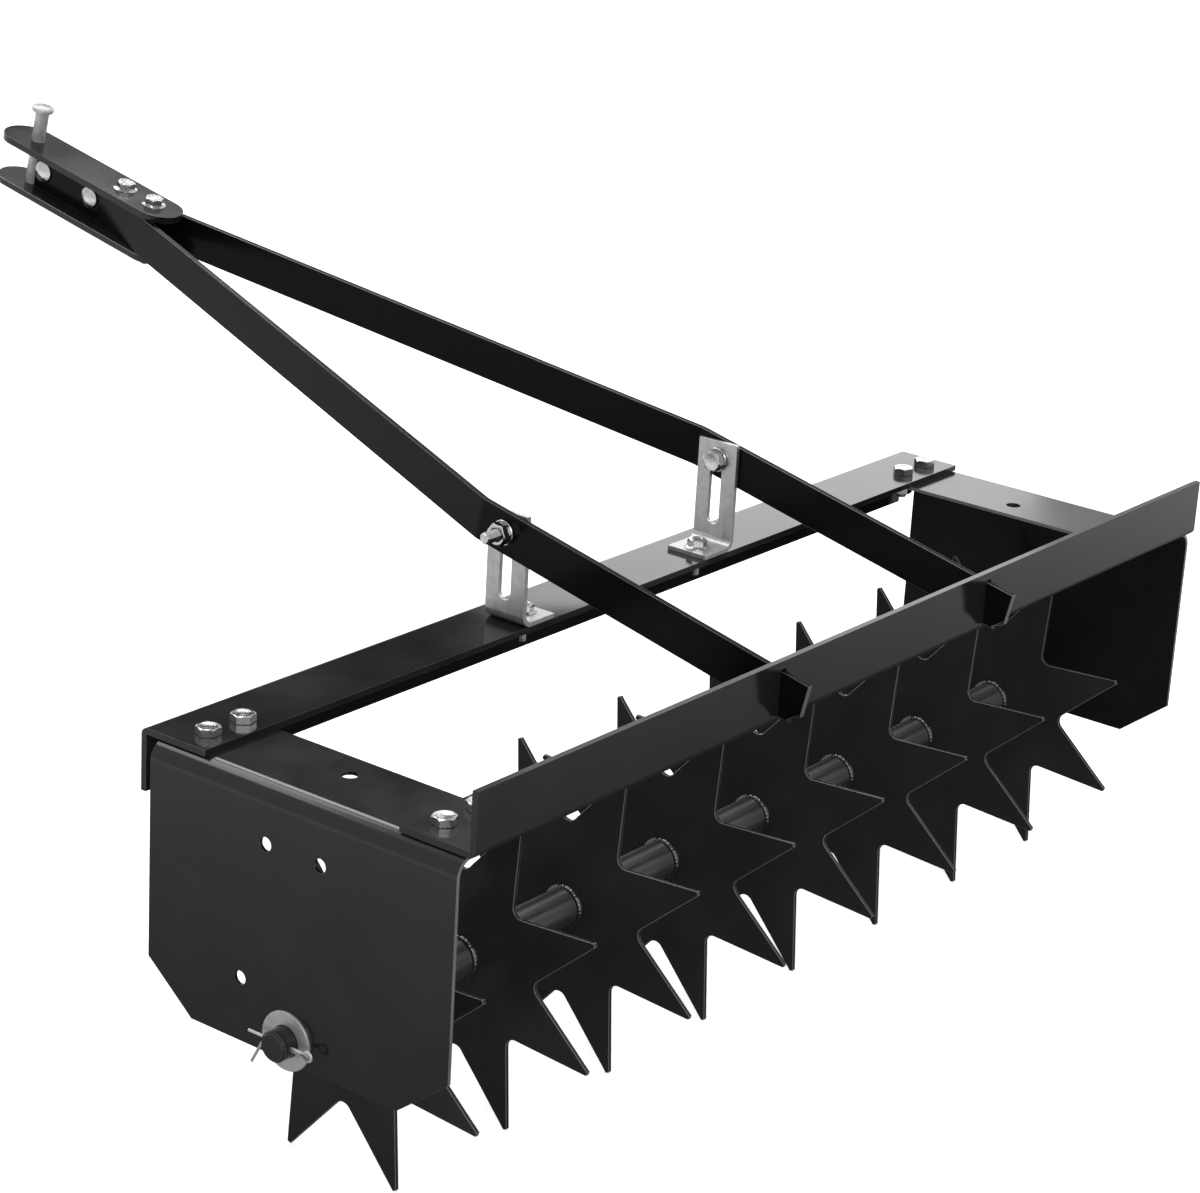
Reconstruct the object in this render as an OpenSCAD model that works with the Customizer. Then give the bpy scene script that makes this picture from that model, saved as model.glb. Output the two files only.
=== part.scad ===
/* [Frame] */
// Width over the outer faces of the end plates
frame_w = 1016; // [800:1:1300]
// Depth of an end plate, front edge to rear edge
plate_depth = 291; // [276:1:351]
// Height of an end plate, bottom edge to top flange
plate_h = 206; // [190:1:240]
// Sheet thickness of the end plates
sheet_t = 3; // [2:0.5:4]
// Outer radius of the bend along the top of an end plate
plate_bend_r = 15; // [8:1:16]
// Width of the top flange of an end plate
plate_flange = 84; // [80:1:110]
// Run of the chamfer at each bottom corner of an end plate
chamfer_run = 45; // [25:1:60]
// Rise of the chamfer at each bottom corner of an end plate
chamfer_rise = 36; // [20:1:50]
// Height of the axle centre above the bottom edge of the end plates
axle_drop = 17; // [16:1:30]

/* [Angles] */
// Steel thickness of the front and rear angles
angle_t = 5; // [3:0.5:5.5]
// Outer radius of the bend in both angles
angle_bend_r = 6; // [6:0.5:8.5]
// Distance from an end plate's outer face to the end of an angle
angle_inset = 8; // [4:1:14]
// How far the rear angle stands out past the rear edges of the end plates
angle_overhang = 8.5; // [8.5:0.5:12]
// How much further the front angle stands out past the front edges
front_more = 9; // [0:0.5:12]
// Width of the flange of the front angle
front_flange = 64; // [58:1:75]
// Height of the hanging leg of the front angle
front_leg = 50; // [36:1:60]
// Width of the flange of the rear angle
rear_flange = 68; // [58:1:80]
// Height of the upright of the rear angle
rear_leg = 50; // [47:1:60]
// Distance of the corner bolts from the free edge of each flange
bolt_edge = 20; // [16:1:24]
// Distance of the outer corner bolts from the end of an angle
bolt_end = 24; // [20:1:30]
// Distance between the two corner bolts at each end of an angle
bolt_pair = 36; // [26:1:40]

/* [Spare holes] */
// Distance between the two upper holes in the side of the left end plate
side_hole_gap = 52; // [30:1:80]
// Depth of the two upper side holes below the top of the flange
side_hole_drop = 44; // [30:1:60]
// Diameter of the holes in the sides of the end plates
side_hole_d = 11; // [5:0.5:14]
// Distance of the lower side hole in front of the axle, in both end plates
low_hole_offset = 48; // [40:1:70]
// Height of the lower side hole above the axle
low_hole_rise = 33; // [15:1:60]
// Diameter of the tray hole in each top flange
tray_hole_d = 13; // [6:0.5:16]
// Distance of a tray hole from the outer face of its end plate
tray_hole_in = 58; // [40:1:68]
// Diameter of the two spare holes in the leg of the front angle
leg_hole_d = 7; // [4:0.5:10]
// Distance between the two spare holes in the leg of the front angle
leg_hole_gap = 276; // [200:1:400]
// Depth of the spare holes below the flange of the front angle
leg_hole_drop = 32; // [20:1:35]

/* [Rotor] */
// Radius of a star, axle centre to spike tip
star_r = 138; // [120:1:145]
// Thickness of a star plate
star_t = 3.5; // [2:0.5:6]
// Radius from the axle centre to the floor of a valley
valley_r = 74; // [60:1:85]
// Radius of the round floor of a valley
valley_round = 8; // [5:0.5:10]
// Width of the blunt end of a spike
tip_w = 5; // [3:0.5:8]
// Outer diameter of the rotor tube
tube_od = 32; // [31:0.5:40]
// Wall of the rotor tube
tube_wall = 2.5; // [2:0.5:3]
// Leg of the weld bead on each side of a star
bead = 3; // [2:0.5:4]
// Diameter of the axle rod
rod_d = 24; // [16:0.5:24]
// Length of the rod that stands out past each axle washer
rod_out = 14; // [13:0.5:20]
// Outer diameter of the axle washers
axle_washer_od = 46; // [38:1:54]
// Thickness of the axle washers
axle_washer_t = 2.5; // [2:0.5:4]
// Thickness of the collar of a bush
bush_collar = 2.5; // [2:0.5:5]
// Length of the bush inside the tube
bush_len = 20; // [10:1:30]
// Diameter of the wire of a cotter pin
cotter_wire = 2; // [1.5:0.1:2.2]
// Length of the two wires side by side behind the rod, as far as the eye's neck
cotter_neck = 8; // [3:1:12]
// Length of the straight leg of a cotter pin in front of the rod
cotter_straight = 17; // [10:1:24]
// Angle by which the other leg of a cotter pin is bent down
cotter_bend = 55; // [30:1:80]

/* [Drawbar] */
// Slope of the drawbar as it stands, in degrees
drawbar_rise = 12.25; // [11:0.25:13.5]
// Distance between the centre planes of the two bars at the frame
bar_spread = 290; // [240:1:340]
// Thickness of a bar
bar_t = 5; // [4:0.5:7]
// Height of a bar
bar_h = 35; // [32:0.5:36]
// Distance from the adjusting bolts to the hitch pin, along the drawbar
hitch_reach = 713; // [600:1:900]
// Length of bar that shows behind the rear angle
tail_out = 24; // [15:1:40]
// Chamfer at the bottom corner of each tail
tail_chamfer = 8; // [4:1:12]
// Centre radius of the two bends in a bar
bar_bend_r = 20; // [10:1:40]
// How far the adjusting bolts can drop in their slots
slot_travel = 52; // [30:1:52]

/* [Brackets] */
// Width of a bracket
bracket_w = 40; // [34:1:46]
// Thickness of a bracket
bracket_t = 4; // [3:0.5:5]
// Outer radius of the bend in a bracket
bracket_bend_r = 10; // [7:0.5:11]
// Length of a bracket's foot, outer face of the leg to the end
bracket_foot = 40; // [37:1:50]
// Height of a bracket's leg above the adjusting bolt
bracket_over = 16; // [14:1:24]

/* [Hitch] */
// Width of the hitch plates
hitch_w = 45; // [40:1:55]
// Thickness of the hitch plates
hitch_t = 6; // [4:0.5:8]
// Distance from the hitch pin to the front end of the plates
hitch_nose = 36; // [30:1:50]
// Distance from the hitch pin to the rear end of the plates
hitch_tail = 183; // [177:1:220]
// Distance from the hitch pin to the front cross bolt
cross_first = 18; // [18:0.5:24]
// Distance between the two cross bolts
cross_gap = 62; // [40:1:62]
// Distance from the hitch pin to the bend where the bars spread
spread_from = 92; // [91:1:96]
// Distance from the hitch pin to the front clamp bolt
clamp_first = 117; // [115:1:125]
// Distance between the two clamp bolts
clamp_gap = 37; // [25:1:38]
// Diameter of the hitch pin
pin_d = 12.7; // [10:0.1:14]
// Diameter of the head of the hitch pin
pin_head_d = 20; // [18:0.5:26]
// Thickness of the head of the hitch pin
pin_head_t = 5; // [3:0.5:8]
// Height at which the pin's head stands above the top plate
pin_raise = 28; // [5:1:40]
// Length of pin that stands out below the bottom plate
pin_below = 8; // [2:1:20]

/* [Fasteners] */
// Diameter of the large bolts, at the corners and in the slots
big_d = 10; // [8:0.5:11]
// Width across the flats of the large bolts
big_af = 17; // [16:0.5:18]
// Diameter of the small bolts, at the feet and in the hitch
small_d = 8; // [6:0.5:8.5]
// Width across the flats of the small bolts
small_af = 13; // [12:0.5:15]
// Diameter of the round heads of the cross bolts
round_head_d = 20; // [15:0.5:21]
// Thickness of the flat washers
washer_t = 2; // [1:0.25:3]

/* [Clearances] */
// Radial clearance of a bolt in its hole
bolt_play = 0.3; // [0.2:0.05:0.6]
// Radial clearance of a bolt in its nut
thread_play = 0.1; // [0.05:0.05:0.2]
// Radial clearance of the axle rod in the plates and bushes
axle_play = 0.25; // [0.2:0.05:0.4]
// Gap between surfaces that slide past each other
slide_play = 0.35; // [0.3:0.05:0.6]
// Gap on each side of a tail in its slot in the rear angle
tail_play = 0.8; // [0.5:0.1:1]
// End play of the rotor at each end plate
rotor_play = 0.5; // [0.3:0.1:0.9]
// Radial clearance of the hitch pin in the hitch plates
pin_play = 0.4; // [0.3:0.1:0.8]

/* [Hidden] */
$fn = 64;
star_count = 8;
spike_count = 8;
coat = "#1b1b1c";
coat_rotor = "#222224";
zinc = "#b9bcbf";
nylon = "#2c2c2c";

// Heights, from the ground that the spikes stand on
half_step = 180 / spike_count;
axle_z = star_r * cos(half_step) + tip_w / 2 * sin(half_step);
plate_bottom = axle_z - axle_drop;
plate_top = plate_bottom + plate_h;
angle_top = plate_top + angle_t;

// Drawbar against the rear angle and the brackets, measured forwards from the axle
half_w = frame_w / 2;
half_depth = (plate_depth + front_more) / 2;
angle_face = half_depth + angle_overhang;
slot_back = -angle_face + angle_t / 2;
bracket_mid = angle_face - front_flange + bracket_w / 2;
bolt_run = bracket_mid - slot_back;
tail_half = bar_h / 2 / cos(drawbar_rise) + angle_t / 2 * tan(drawbar_rise);
tail_z = angle_top + tail_play + tail_half;
bolt_z = tail_z + bolt_run * tan(drawbar_rise);

// Swing of the drawbar: the adjusting bolts drop by slot_travel along their slots
pivot_z = bolt_z - slot_travel / 2;
swing_r = norm([bolt_run, slot_travel / 2]);
swing = 2 * asin(slot_travel / 2 / swing_r);
slot_bow = swing_r - bolt_run;
slot_w = big_d + slot_bow + 2 * slide_play;
low_rise = drawbar_rise - swing;
tail_z_low = pivot_z - (pivot_z - tail_z) * cos(drawbar_rise) / cos(low_rise);
tail_half_low = bar_h / 2 / cos(low_rise) + angle_t / 2 * abs(tan(low_rise));
tail_slot_top = max(tail_z + tail_half, tail_z_low + tail_half_low) + tail_play;

// Drawbar, along its own length from the adjusting bolts
tail_v = -bolt_run / cos(drawbar_rise) - tail_out;
bracket_bend_v = bracket_w / 2 + 5;
bar_front_v = hitch_reach - pin_d / 2 - pin_play - 1.2;
spread_v = hitch_reach - spread_from;
bar_half_gap = bar_t / 2;
bar_half_spread = bar_spread / 2;
bar_angle = atan2(bar_half_spread - bar_half_gap, spread_v - bracket_bend_v);
bend_tangent = bar_bend_r * tan(bar_angle / 2);
bend_steps = 6;

// The row's origin lies under the middle of the whole machine
front_reach = bracket_mid + (hitch_reach + hitch_nose) * cos(drawbar_rise)
    + (bar_h / 2 + hitch_t) * sin(drawbar_rise);
rear_reach = -bracket_mid - tail_v * cos(drawbar_rise) + bar_h / 2 * sin(drawbar_rise);
axle_y = (rear_reach - front_reach) / 2;

// Fastener sizes that follow the bolts
big_head = big_d * 0.66;
big_nut = big_d * 0.8;
small_head = small_d * 0.66;
small_nut = small_d * 0.8;
big_washer_od = big_af + 4;
bracket_face = bar_half_spread - bar_t / 2 - slide_play;
foot_bolt_x = bracket_face - (bracket_bend_r + bracket_foot) / 2;
stud_end = 14;
bolt_tail = 4;

// Axle ends
washer_face = half_w + axle_washer_t;
cotter_x = washer_face + 3 * cotter_wire;
cotter_hole = 2.6 * cotter_wire;
tube_half = half_w - sheet_t - rotor_play - bush_collar;
rod_chamfer = 2;

// Bent strip in section: a flange along +x and a leg along -y from a rounded corner
module bent_section(flange, leg, thick, bend_r) {
    difference() {
        union() {
            translate([bend_r, -thick])
                square([flange - bend_r, thick]);
            translate([0, -leg])
                square([thick, leg - bend_r]);
            intersection() {
                translate([bend_r, -bend_r])
                    circle(r = bend_r);
                translate([0, -bend_r])
                    square([bend_r, bend_r]);
            }
        }
        translate([bend_r, -bend_r])
            circle(r = bend_r - thick);
    }
}

// Extrusion of a section drawn in Y and Z, centred on X = 0
module across(length) {
    translate([-length / 2, 0, 0])
        rotate([90, 0, 90])
            linear_extrude(height = length)
                children();
}

// Extrusion of a section drawn in X and Z, centred on Y = 0
module along(length) {
    translate([0, length / 2, 0])
        rotate([90, 0, 0])
            linear_extrude(height = length)
                children();
}

// Round bar or hole along X, from x = 0
module x_cylinder(d, length) {
    rotate([0, 90, 0])
        cylinder(d = d, h = length);
}

// Left and right copies of what stands on the right
module both_sides() {
    children();
    mirror([1, 0, 0])
        children();
}

// Hexagon with its corners turned off at the top, and at the bottom too for a nut
module hex_block(flats, height, both_ends = false) {
    corner_r = flats / 2 / cos(30);
    turned = corner_r - flats / 2 * 0.97;
    drop = turned * 0.5;
    foot = both_ends ? turned : 0;
    intersection() {
        cylinder(r = corner_r, h = height, $fn = 6);
        rotate_extrude()
            polygon([
                [0, 0], [corner_r - foot, 0], [corner_r, foot * 0.5],
                [corner_r, height - drop], [corner_r - turned, height], [0, height]
            ]);
    }
}

// Hexagon bolt, head up, its shank hanging from z = 0
module hex_bolt(d, flats, head, length) {
    hex_block(flats, head);
    translate([0, 0, 1 - length])
        cylinder(d = d, h = length - 1);
    translate([0, 0, -length])
        cylinder(d1 = d - 2, d2 = d, h = 1);
}

// Hexagon bolt with a sloped flange under its head
module flange_bolt(d, flats, head, length) {
    hex_bolt(d, flats, head, length);
    cylinder(d = flats + 5, h = 0.8);
    translate([0, 0, 0.8])
        cylinder(d1 = flats + 5, d2 = flats, h = 1.2);
}

// Hexagon nut, hanging from z = 0
module hex_nut(d, flats, height) {
    translate([0, 0, -height])
        difference() {
            hex_block(flats, height, true);
            translate([0, 0, -1])
                cylinder(r = d / 2 + thread_play, h = height + 2);
        }
}

// Flat washer, hanging from z = 0
module flat_washer(d, od, thick) {
    translate([0, 0, -thick])
        difference() {
            cylinder(d = od, h = thick);
            translate([0, 0, -1])
                cylinder(r = d / 2 + bolt_play, h = thick + 2);
        }
}

// Places of the corner bolts, in the plane of the top flanges
module at_corner_bolts() {
    front_y = axle_y + angle_face - front_flange + bolt_edge;
    rear_y = axle_y - angle_face + rear_flange - bolt_edge;
    outer_x = half_w - angle_inset - bolt_end;
    for (side = [-1, 1])
        for (y = [front_y, rear_y])
            for (x = [outer_x, outer_x - bolt_pair])
                translate([side * x, y, 0])
                    children();
}

// The drawbar's own frame: Y along the bars, Z across them, from the adjusting bolts
module on_drawbar() {
    translate([0, axle_y + bracket_mid, bolt_z])
        rotate([drawbar_rise, 0, 0])
            children();
}

// What both end plates share, as it stands on the left
module end_plate() {
    difference() {
        translate([-half_w, axle_y - front_more / 2, plate_top])
            along(plate_depth)
                bent_section(plate_flange, plate_h, sheet_t, plate_bend_r);
        for (end = [-1, 1])
            translate([
                -half_w,
                axle_y + (end * plate_depth - front_more) / 2,
                plate_bottom
            ])
                rotate([90, 0, 90])
                    translate([0, 0, -1])
                        linear_extrude(height = sheet_t + 2)
                            polygon([
                                [end, -1],
                                [-end * chamfer_run - end, -1],
                                [-end * chamfer_run, 0],
                                [0, chamfer_rise],
                                [end, chamfer_rise]
                            ]);
        translate([-half_w - 1, axle_y, axle_z])
            x_cylinder(rod_d + 2 * axle_play, sheet_t + 2);
        translate([-half_w - 1, axle_y + low_hole_offset, axle_z + low_hole_rise])
            x_cylinder(side_hole_d, sheet_t + 2);
        translate([-half_w + tray_hole_in, axle_y, plate_top - sheet_t - 1])
            cylinder(d = tray_hole_d, h = sheet_t + 2);
        translate([0, 0, plate_top - sheet_t - 1])
            at_corner_bolts()
                cylinder(d = big_d + 2 * bolt_play, h = sheet_t + 2);
    }
}

// The left plate has two more holes in its side, level with each other
module end_plate_left() {
    color(coat)
        difference() {
            end_plate();
            for (y = [-side_hole_gap / 2, side_hole_gap / 2])
                translate([-half_w - 1, axle_y + y, plate_top - side_hole_drop])
                    x_cylinder(side_hole_d, sheet_t + 2);
        }
}

module end_plate_right() {
    color(coat)
        mirror([1, 0, 0])
            end_plate();
}

module front_angle() {
    color(coat)
        difference() {
            translate([0, axle_y + angle_face, angle_top])
                across(frame_w - 2 * angle_inset)
                    mirror([1, 0])
                        bent_section(front_flange, front_leg, angle_t, angle_bend_r);
            translate([0, 0, plate_top - 1])
                at_corner_bolts()
                    cylinder(d = big_d + 2 * bolt_play, h = angle_t + 2);
            for (x = [-foot_bolt_x, foot_bolt_x])
                translate([x, axle_y + bracket_mid, plate_top - 1])
                    cylinder(d = small_d + 2 * bolt_play, h = angle_t + 2);
            for (x = [-leg_hole_gap / 2, leg_hole_gap / 2])
                translate([x, axle_y + angle_face + 1, plate_top - leg_hole_drop])
                    rotate([90, 0, 0])
                        cylinder(d = leg_hole_d, h = angle_t + 2);
        }
}

module rear_angle() {
    color(coat)
        difference() {
            translate([0, axle_y - angle_face, plate_top])
                across(frame_w - 2 * angle_inset)
                    mirror([0, 1])
                        bent_section(rear_flange, rear_leg, angle_t, angle_bend_r);
            translate([0, 0, plate_top - 1])
                at_corner_bolts()
                    cylinder(d = big_d + 2 * bolt_play, h = angle_t + 2);
            both_sides()
                translate([
                    bar_half_spread - bar_t / 2 - tail_play,
                    axle_y - angle_face - 1,
                    angle_top
                ])
                    cube([
                        bar_t + 2 * tail_play,
                        angle_bend_r + 2,
                        tail_slot_top - angle_top
                    ]);
        }
}

module corner_bolts() {
    grip = angle_t + sheet_t + washer_t + big_nut + bolt_tail;
    color(zinc)
        translate([0, 0, angle_top])
            at_corner_bolts()
                hex_bolt(big_d, big_af, big_head, grip);
}

module corner_washers() {
    color(zinc)
        translate([0, 0, plate_top - sheet_t])
            at_corner_bolts()
                flat_washer(big_d, big_washer_od, washer_t);
}

module corner_nuts() {
    color(zinc)
        translate([0, 0, plate_top - sheet_t - washer_t])
            at_corner_bolts()
                hex_nut(big_d, big_af, big_nut);
}

// Right bracket: the leg stands against the inner face of the bar, the foot points inwards
module bracket() {
    slot_mid = axle_y + bracket_mid + slot_bow / 2;
    slot_top = bolt_z + slide_play;
    slot_low = bolt_z - slot_travel - slide_play;
    leg = bolt_z + bracket_over - angle_top;
    difference() {
        translate([bracket_face, axle_y + bracket_mid, angle_top])
            along(bracket_w)
                mirror([0, 1])
                    mirror([1, 0])
                        bent_section(bracket_foot, leg, bracket_t, bracket_bend_r);
        for (z = [slot_low, slot_top])
            translate([bracket_face - bracket_t - 1, slot_mid, z])
                x_cylinder(slot_w, bracket_t + 2);
        translate([bracket_face - bracket_t - 1, slot_mid - slot_w / 2, slot_low])
            cube([bracket_t + 2, slot_w, slot_top - slot_low]);
        translate([foot_bolt_x, axle_y + bracket_mid, angle_top - 1])
            cylinder(d = small_d + 2 * bolt_play, h = bracket_t + 2);
    }
}

module bracket_right() {
    color(zinc)
        bracket();
}

module bracket_left() {
    color(zinc)
        mirror([1, 0, 0])
            bracket();
}

module foot_bolts() {
    grip = bracket_t + angle_t + small_nut + bolt_tail;
    color(zinc)
        both_sides()
            translate([foot_bolt_x, axle_y + bracket_mid, angle_top + bracket_t])
                flange_bolt(small_d, small_af, small_head, grip);
}

module foot_nuts() {
    color(zinc)
        both_sides()
            translate([foot_bolt_x, axle_y + bracket_mid, plate_top])
                hex_nut(small_d, small_af, small_nut);
}

module axle_rod() {
    end_x = washer_face + rod_out;
    color(coat_rotor)
        difference() {
            translate([0, axle_y, axle_z])
                rotate([0, 90, 0])
                    rotate_extrude()
                        polygon([
                            [0, -end_x], [rod_d / 2 - rod_chamfer, -end_x],
                            [rod_d / 2, rod_chamfer - end_x], [rod_d / 2, end_x - rod_chamfer],
                            [rod_d / 2 - rod_chamfer, end_x], [0, end_x]
                        ]);
            both_sides()
                translate([cotter_x, axle_y + rod_d, axle_z])
                    rotate([90, 0, 0])
                        cylinder(d = cotter_hole, h = 2 * rod_d);
        }
}

module axle_washers() {
    color(zinc)
        both_sides()
            translate([half_w, axle_y, axle_z])
                difference() {
                    x_cylinder(axle_washer_od, axle_washer_t);
                    translate([-1, 0, 0])
                        x_cylinder(rod_d + 2 * axle_play, axle_washer_t + 2);
                }
}

// Bend in a wire: points on an arc, each with the heading that the wire has there
function wire_bend(centre, r, from, to, steps) =
    [
        for (i = [0 : steps])
            let (a = from + (to - from) * i / steps)
            [centre + r * [cos(a), sin(a)], a + (to > from ? 90 : -90)]
    ];

// Middle line of a cotter pin in Y and Z: straight leg, eye behind the rod, bent leg
function cotter_line() =
    let (
        pair = cotter_wire * 0.6,
        eye_r = cotter_wire * 1.9,
        neck_r = cotter_wire * 4,
        foot_r = cotter_wire * 1.5,
        back = -rod_d / 2 - cotter_neck,
        front = rod_d / 2 + 1,
        eye_back = sqrt(pow(eye_r + neck_r, 2) - pow(pair + neck_r, 2)),
        opening = atan2(pair + neck_r, eye_back),
        foot = wire_bend([front, -pair - foot_r], foot_r, 90, 90 - cotter_bend, 6),
        heel = foot[6][0]
    )
    concat(
        [[[front + cotter_straight, pair], 180]],
        wire_bend([back, pair + neck_r], neck_r, 270, 180 + opening, 6),
        wire_bend([back - eye_back, 0], eye_r, opening, 360 - opening, 24),
        wire_bend([back, -pair - neck_r], neck_r, 180 - opening, 90, 6),
        foot,
        [[heel + cotter_straight * [cos(cotter_bend), -sin(cotter_bend)], -cotter_bend]]
    );

// Cotter pin, bent from flat-sided wire
module cotter_pin() {
    path = cotter_line();
    half = cotter_wire / 2;
    last = len(path) - 1;
    translate([cotter_x, axle_y, axle_z])
        across(cotter_wire)
            polygon(concat(
                [for (s = path) s[0] + half * [-sin(s[1]), cos(s[1])]],
                [for (i = [last : -1 : 0]) path[i][0] - half * [-sin(path[i][1]), cos(path[i][1])]]
            ));
}

module cotter_pin_right() {
    color(zinc)
        cotter_pin();
}

module cotter_pin_left() {
    color(zinc)
        mirror([1, 0, 0])
            cotter_pin();
}

module rotor_tube() {
    color(coat_rotor)
        translate([-tube_half, axle_y, axle_z])
            difference() {
                x_cylinder(tube_od, 2 * tube_half);
                translate([-1, 0, 0])
                    x_cylinder(tube_od - 2 * tube_wall, 2 * tube_half + 2);
            }
}

// Bushes: a collar against the end plate and a sleeve inside the tube, running on the rod
module tube_bushes() {
    color(nylon)
        both_sides()
            translate([tube_half, axle_y, axle_z])
                difference() {
                    union() {
                        x_cylinder(tube_od, bush_collar);
                        translate([-bush_len, 0, 0])
                            x_cylinder(tube_od - 2 * tube_wall - 2 * thread_play, bush_len);
                    }
                    translate([-bush_len - 1, 0, 0])
                        x_cylinder(rod_d + 2 * axle_play, bush_len + bush_collar + 2);
                }
}

// Where the straight edge of a spike meets the round floor of the valley beside it
function edge_end() =
    let (
        tip = [star_r, tip_w / 2],
        mid = (valley_r + valley_round) * [cos(half_step), sin(half_step)],
        gap = norm(mid - tip),
        aim = atan2(mid[1] - tip[1], mid[0] - tip[0]) + asin(valley_round / gap),
        run = sqrt(gap * gap - valley_round * valley_round)
    )
    tip + run * [cos(aim), sin(aim)];

function turned(point, angle) =
    [
        point[0] * cos(angle) - point[1] * sin(angle),
        point[0] * sin(angle) + point[1] * cos(angle)
    ];

// Star outline: straight-sided spikes with blunt tips, and round-floored valleys between
module star_outline() {
    edge = edge_end();
    mid_r = valley_r + valley_round;
    spike = [
        [edge[0], -edge[1]],
        [star_r, -tip_w / 2],
        [star_r, tip_w / 2],
        edge,
        mid_r * [cos(half_step), sin(half_step)]
    ];
    difference() {
        polygon([
            for (k = [0 : spike_count - 1])
                for (point = spike)
                    turned(point, half_step * (2 * k + 1))
        ]);
        for (k = [0 : spike_count - 1])
            rotate(2 * half_step * k)
                translate([mid_r, 0])
                    circle(r = valley_round);
        circle(r = tube_od / 2 + thread_play);
    }
}

// One star plate with the weld bead that holds it to the tube on each side
module star(index) {
    x = (index - (star_count + 1) / 2) * frame_w / star_count;
    bore_r = tube_od / 2 + thread_play;
    color(coat_rotor)
        translate([x, axle_y, axle_z]) {
            across(star_t)
                star_outline();
            for (side = [-1, 1])
                rotate([0, side * 90, 0])
                    translate([0, 0, star_t / 2])
                        rotate_extrude()
                            polygon([
                                [bore_r, 0], [bore_r + bead, 0],
                                [bore_r + bead * 0.45, bead * 0.75], [bore_r, bead]
                            ]);
        }
}

// Corner of a bar: points on an arc about a centre
function bend_points(centre, r, from, to) =
    [
        for (i = [0 : bend_steps])
            let (a = from + (to - from) * i / bend_steps)
            centre + r * [cos(a), sin(a)]
    ];

// Right bar from above: straight past the frame, angled inwards, and straight again in the hitch
module bar_outline() {
    half_t = bar_t / 2;
    first = [bar_half_spread - bar_bend_r, bracket_bend_v - bend_tangent];
    second = [bar_half_gap + bar_bend_r, spread_v + bend_tangent];
    outer = concat(
        [[bar_half_spread + half_t, tail_v]],
        bend_points(first, bar_bend_r + half_t, 0, bar_angle),
        bend_points(second, bar_bend_r - half_t, 180 + bar_angle, 180),
        [[bar_half_gap + half_t, bar_front_v]]
    );
    inner = concat(
        [[bar_half_gap - half_t, bar_front_v]],
        bend_points(second, bar_bend_r + half_t, 180, 180 + bar_angle),
        bend_points(first, bar_bend_r - half_t, bar_angle, 0),
        [[bar_half_spread - half_t, tail_v]]
    );
    polygon(concat(outer, inner));
}

module drawbar() {
    on_drawbar()
        difference() {
            translate([0, 0, -bar_h / 2])
                linear_extrude(height = bar_h)
                    bar_outline();
            translate([bar_half_spread - bar_t, 0, 0])
                x_cylinder(big_d + 2 * bolt_play, 2 * bar_t);
            for (v = [cross_first, cross_first + cross_gap])
                translate([-1, hitch_reach - v, 0])
                    x_cylinder(small_d + 2 * bolt_play, bar_t + 2);
            translate([bar_half_spread - bar_t, tail_v, -bar_h / 2])
                rotate([45, 0, 0])
                    translate([0, -tail_chamfer, -tail_chamfer * sqrt(0.5)])
                        cube([2 * bar_t, 2 * tail_chamfer, 2 * tail_chamfer * sqrt(0.5)]);
        }
}

module drawbar_right() {
    color(coat)
        drawbar();
}

module drawbar_left() {
    color(coat)
        mirror([1, 0, 0])
            drawbar();
}

// Place of the right adjusting bolt, on the outer face of the bar, pointing outwards
module at_slot_bolt(x) {
    translate([x, axle_y + bracket_mid, bolt_z])
        rotate([0, -90, 0])
            children();
}

module slot_bolts() {
    head_x = bracket_face - bracket_t - slide_play - washer_t;
    length = bar_half_spread + bar_t / 2 + washer_t + big_nut + stud_end - head_x;
    color(zinc)
        both_sides()
            at_slot_bolt(head_x)
                hex_bolt(big_d, big_af, big_head, length);
}

module slot_washers() {
    color(zinc)
        both_sides() {
            at_slot_bolt(bracket_face - bracket_t - slide_play - washer_t)
                flat_washer(big_d, big_washer_od, washer_t);
            at_slot_bolt(bar_half_spread + bar_t / 2)
                flat_washer(big_d, big_washer_od, washer_t);
        }
}

module slot_nuts() {
    color(zinc)
        both_sides()
            at_slot_bolt(bar_half_spread + bar_t / 2 + washer_t)
                hex_nut(big_d, big_af, big_nut);
}

// Hitch plate lying on z = 0, drilled for the pin and the clamp bolts
module hitch_plate() {
    difference() {
        union() {
            for (v = [hitch_nose - hitch_w / 2, hitch_w / 2 - hitch_tail])
                translate([0, hitch_reach + v, 0])
                    cylinder(d = hitch_w, h = hitch_t);
            translate([-hitch_w / 2, hitch_reach + hitch_w / 2 - hitch_tail, 0])
                cube([hitch_w, hitch_nose + hitch_tail - hitch_w, hitch_t]);
        }
        translate([0, hitch_reach, -1])
            cylinder(r = pin_d / 2 + pin_play, h = hitch_t + 2);
        for (v = [clamp_first, clamp_first + clamp_gap])
            translate([0, hitch_reach - v, -1])
                cylinder(d = small_d + 2 * bolt_play, h = hitch_t + 2);
    }
}

module hitch_plate_top() {
    color(coat)
        on_drawbar()
            translate([0, 0, bar_h / 2])
                hitch_plate();
}

module hitch_plate_bottom() {
    color(coat)
        on_drawbar()
            translate([0, 0, -bar_h / 2 - hitch_t])
                hitch_plate();
}

module clamp_bolts() {
    length = bar_h + 2 * hitch_t + small_nut + bolt_tail;
    color(zinc)
        on_drawbar()
            for (v = [clamp_first, clamp_first + clamp_gap])
                translate([0, hitch_reach - v, bar_h / 2 + hitch_t])
                    flange_bolt(small_d, small_af, small_head, length);
}

module clamp_nuts() {
    color(zinc)
        on_drawbar()
            for (v = [clamp_first, clamp_first + clamp_gap])
                translate([0, hitch_reach - v, -bar_h / 2 - hitch_t])
                    hex_nut(small_d, small_af, small_nut);
}

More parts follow.
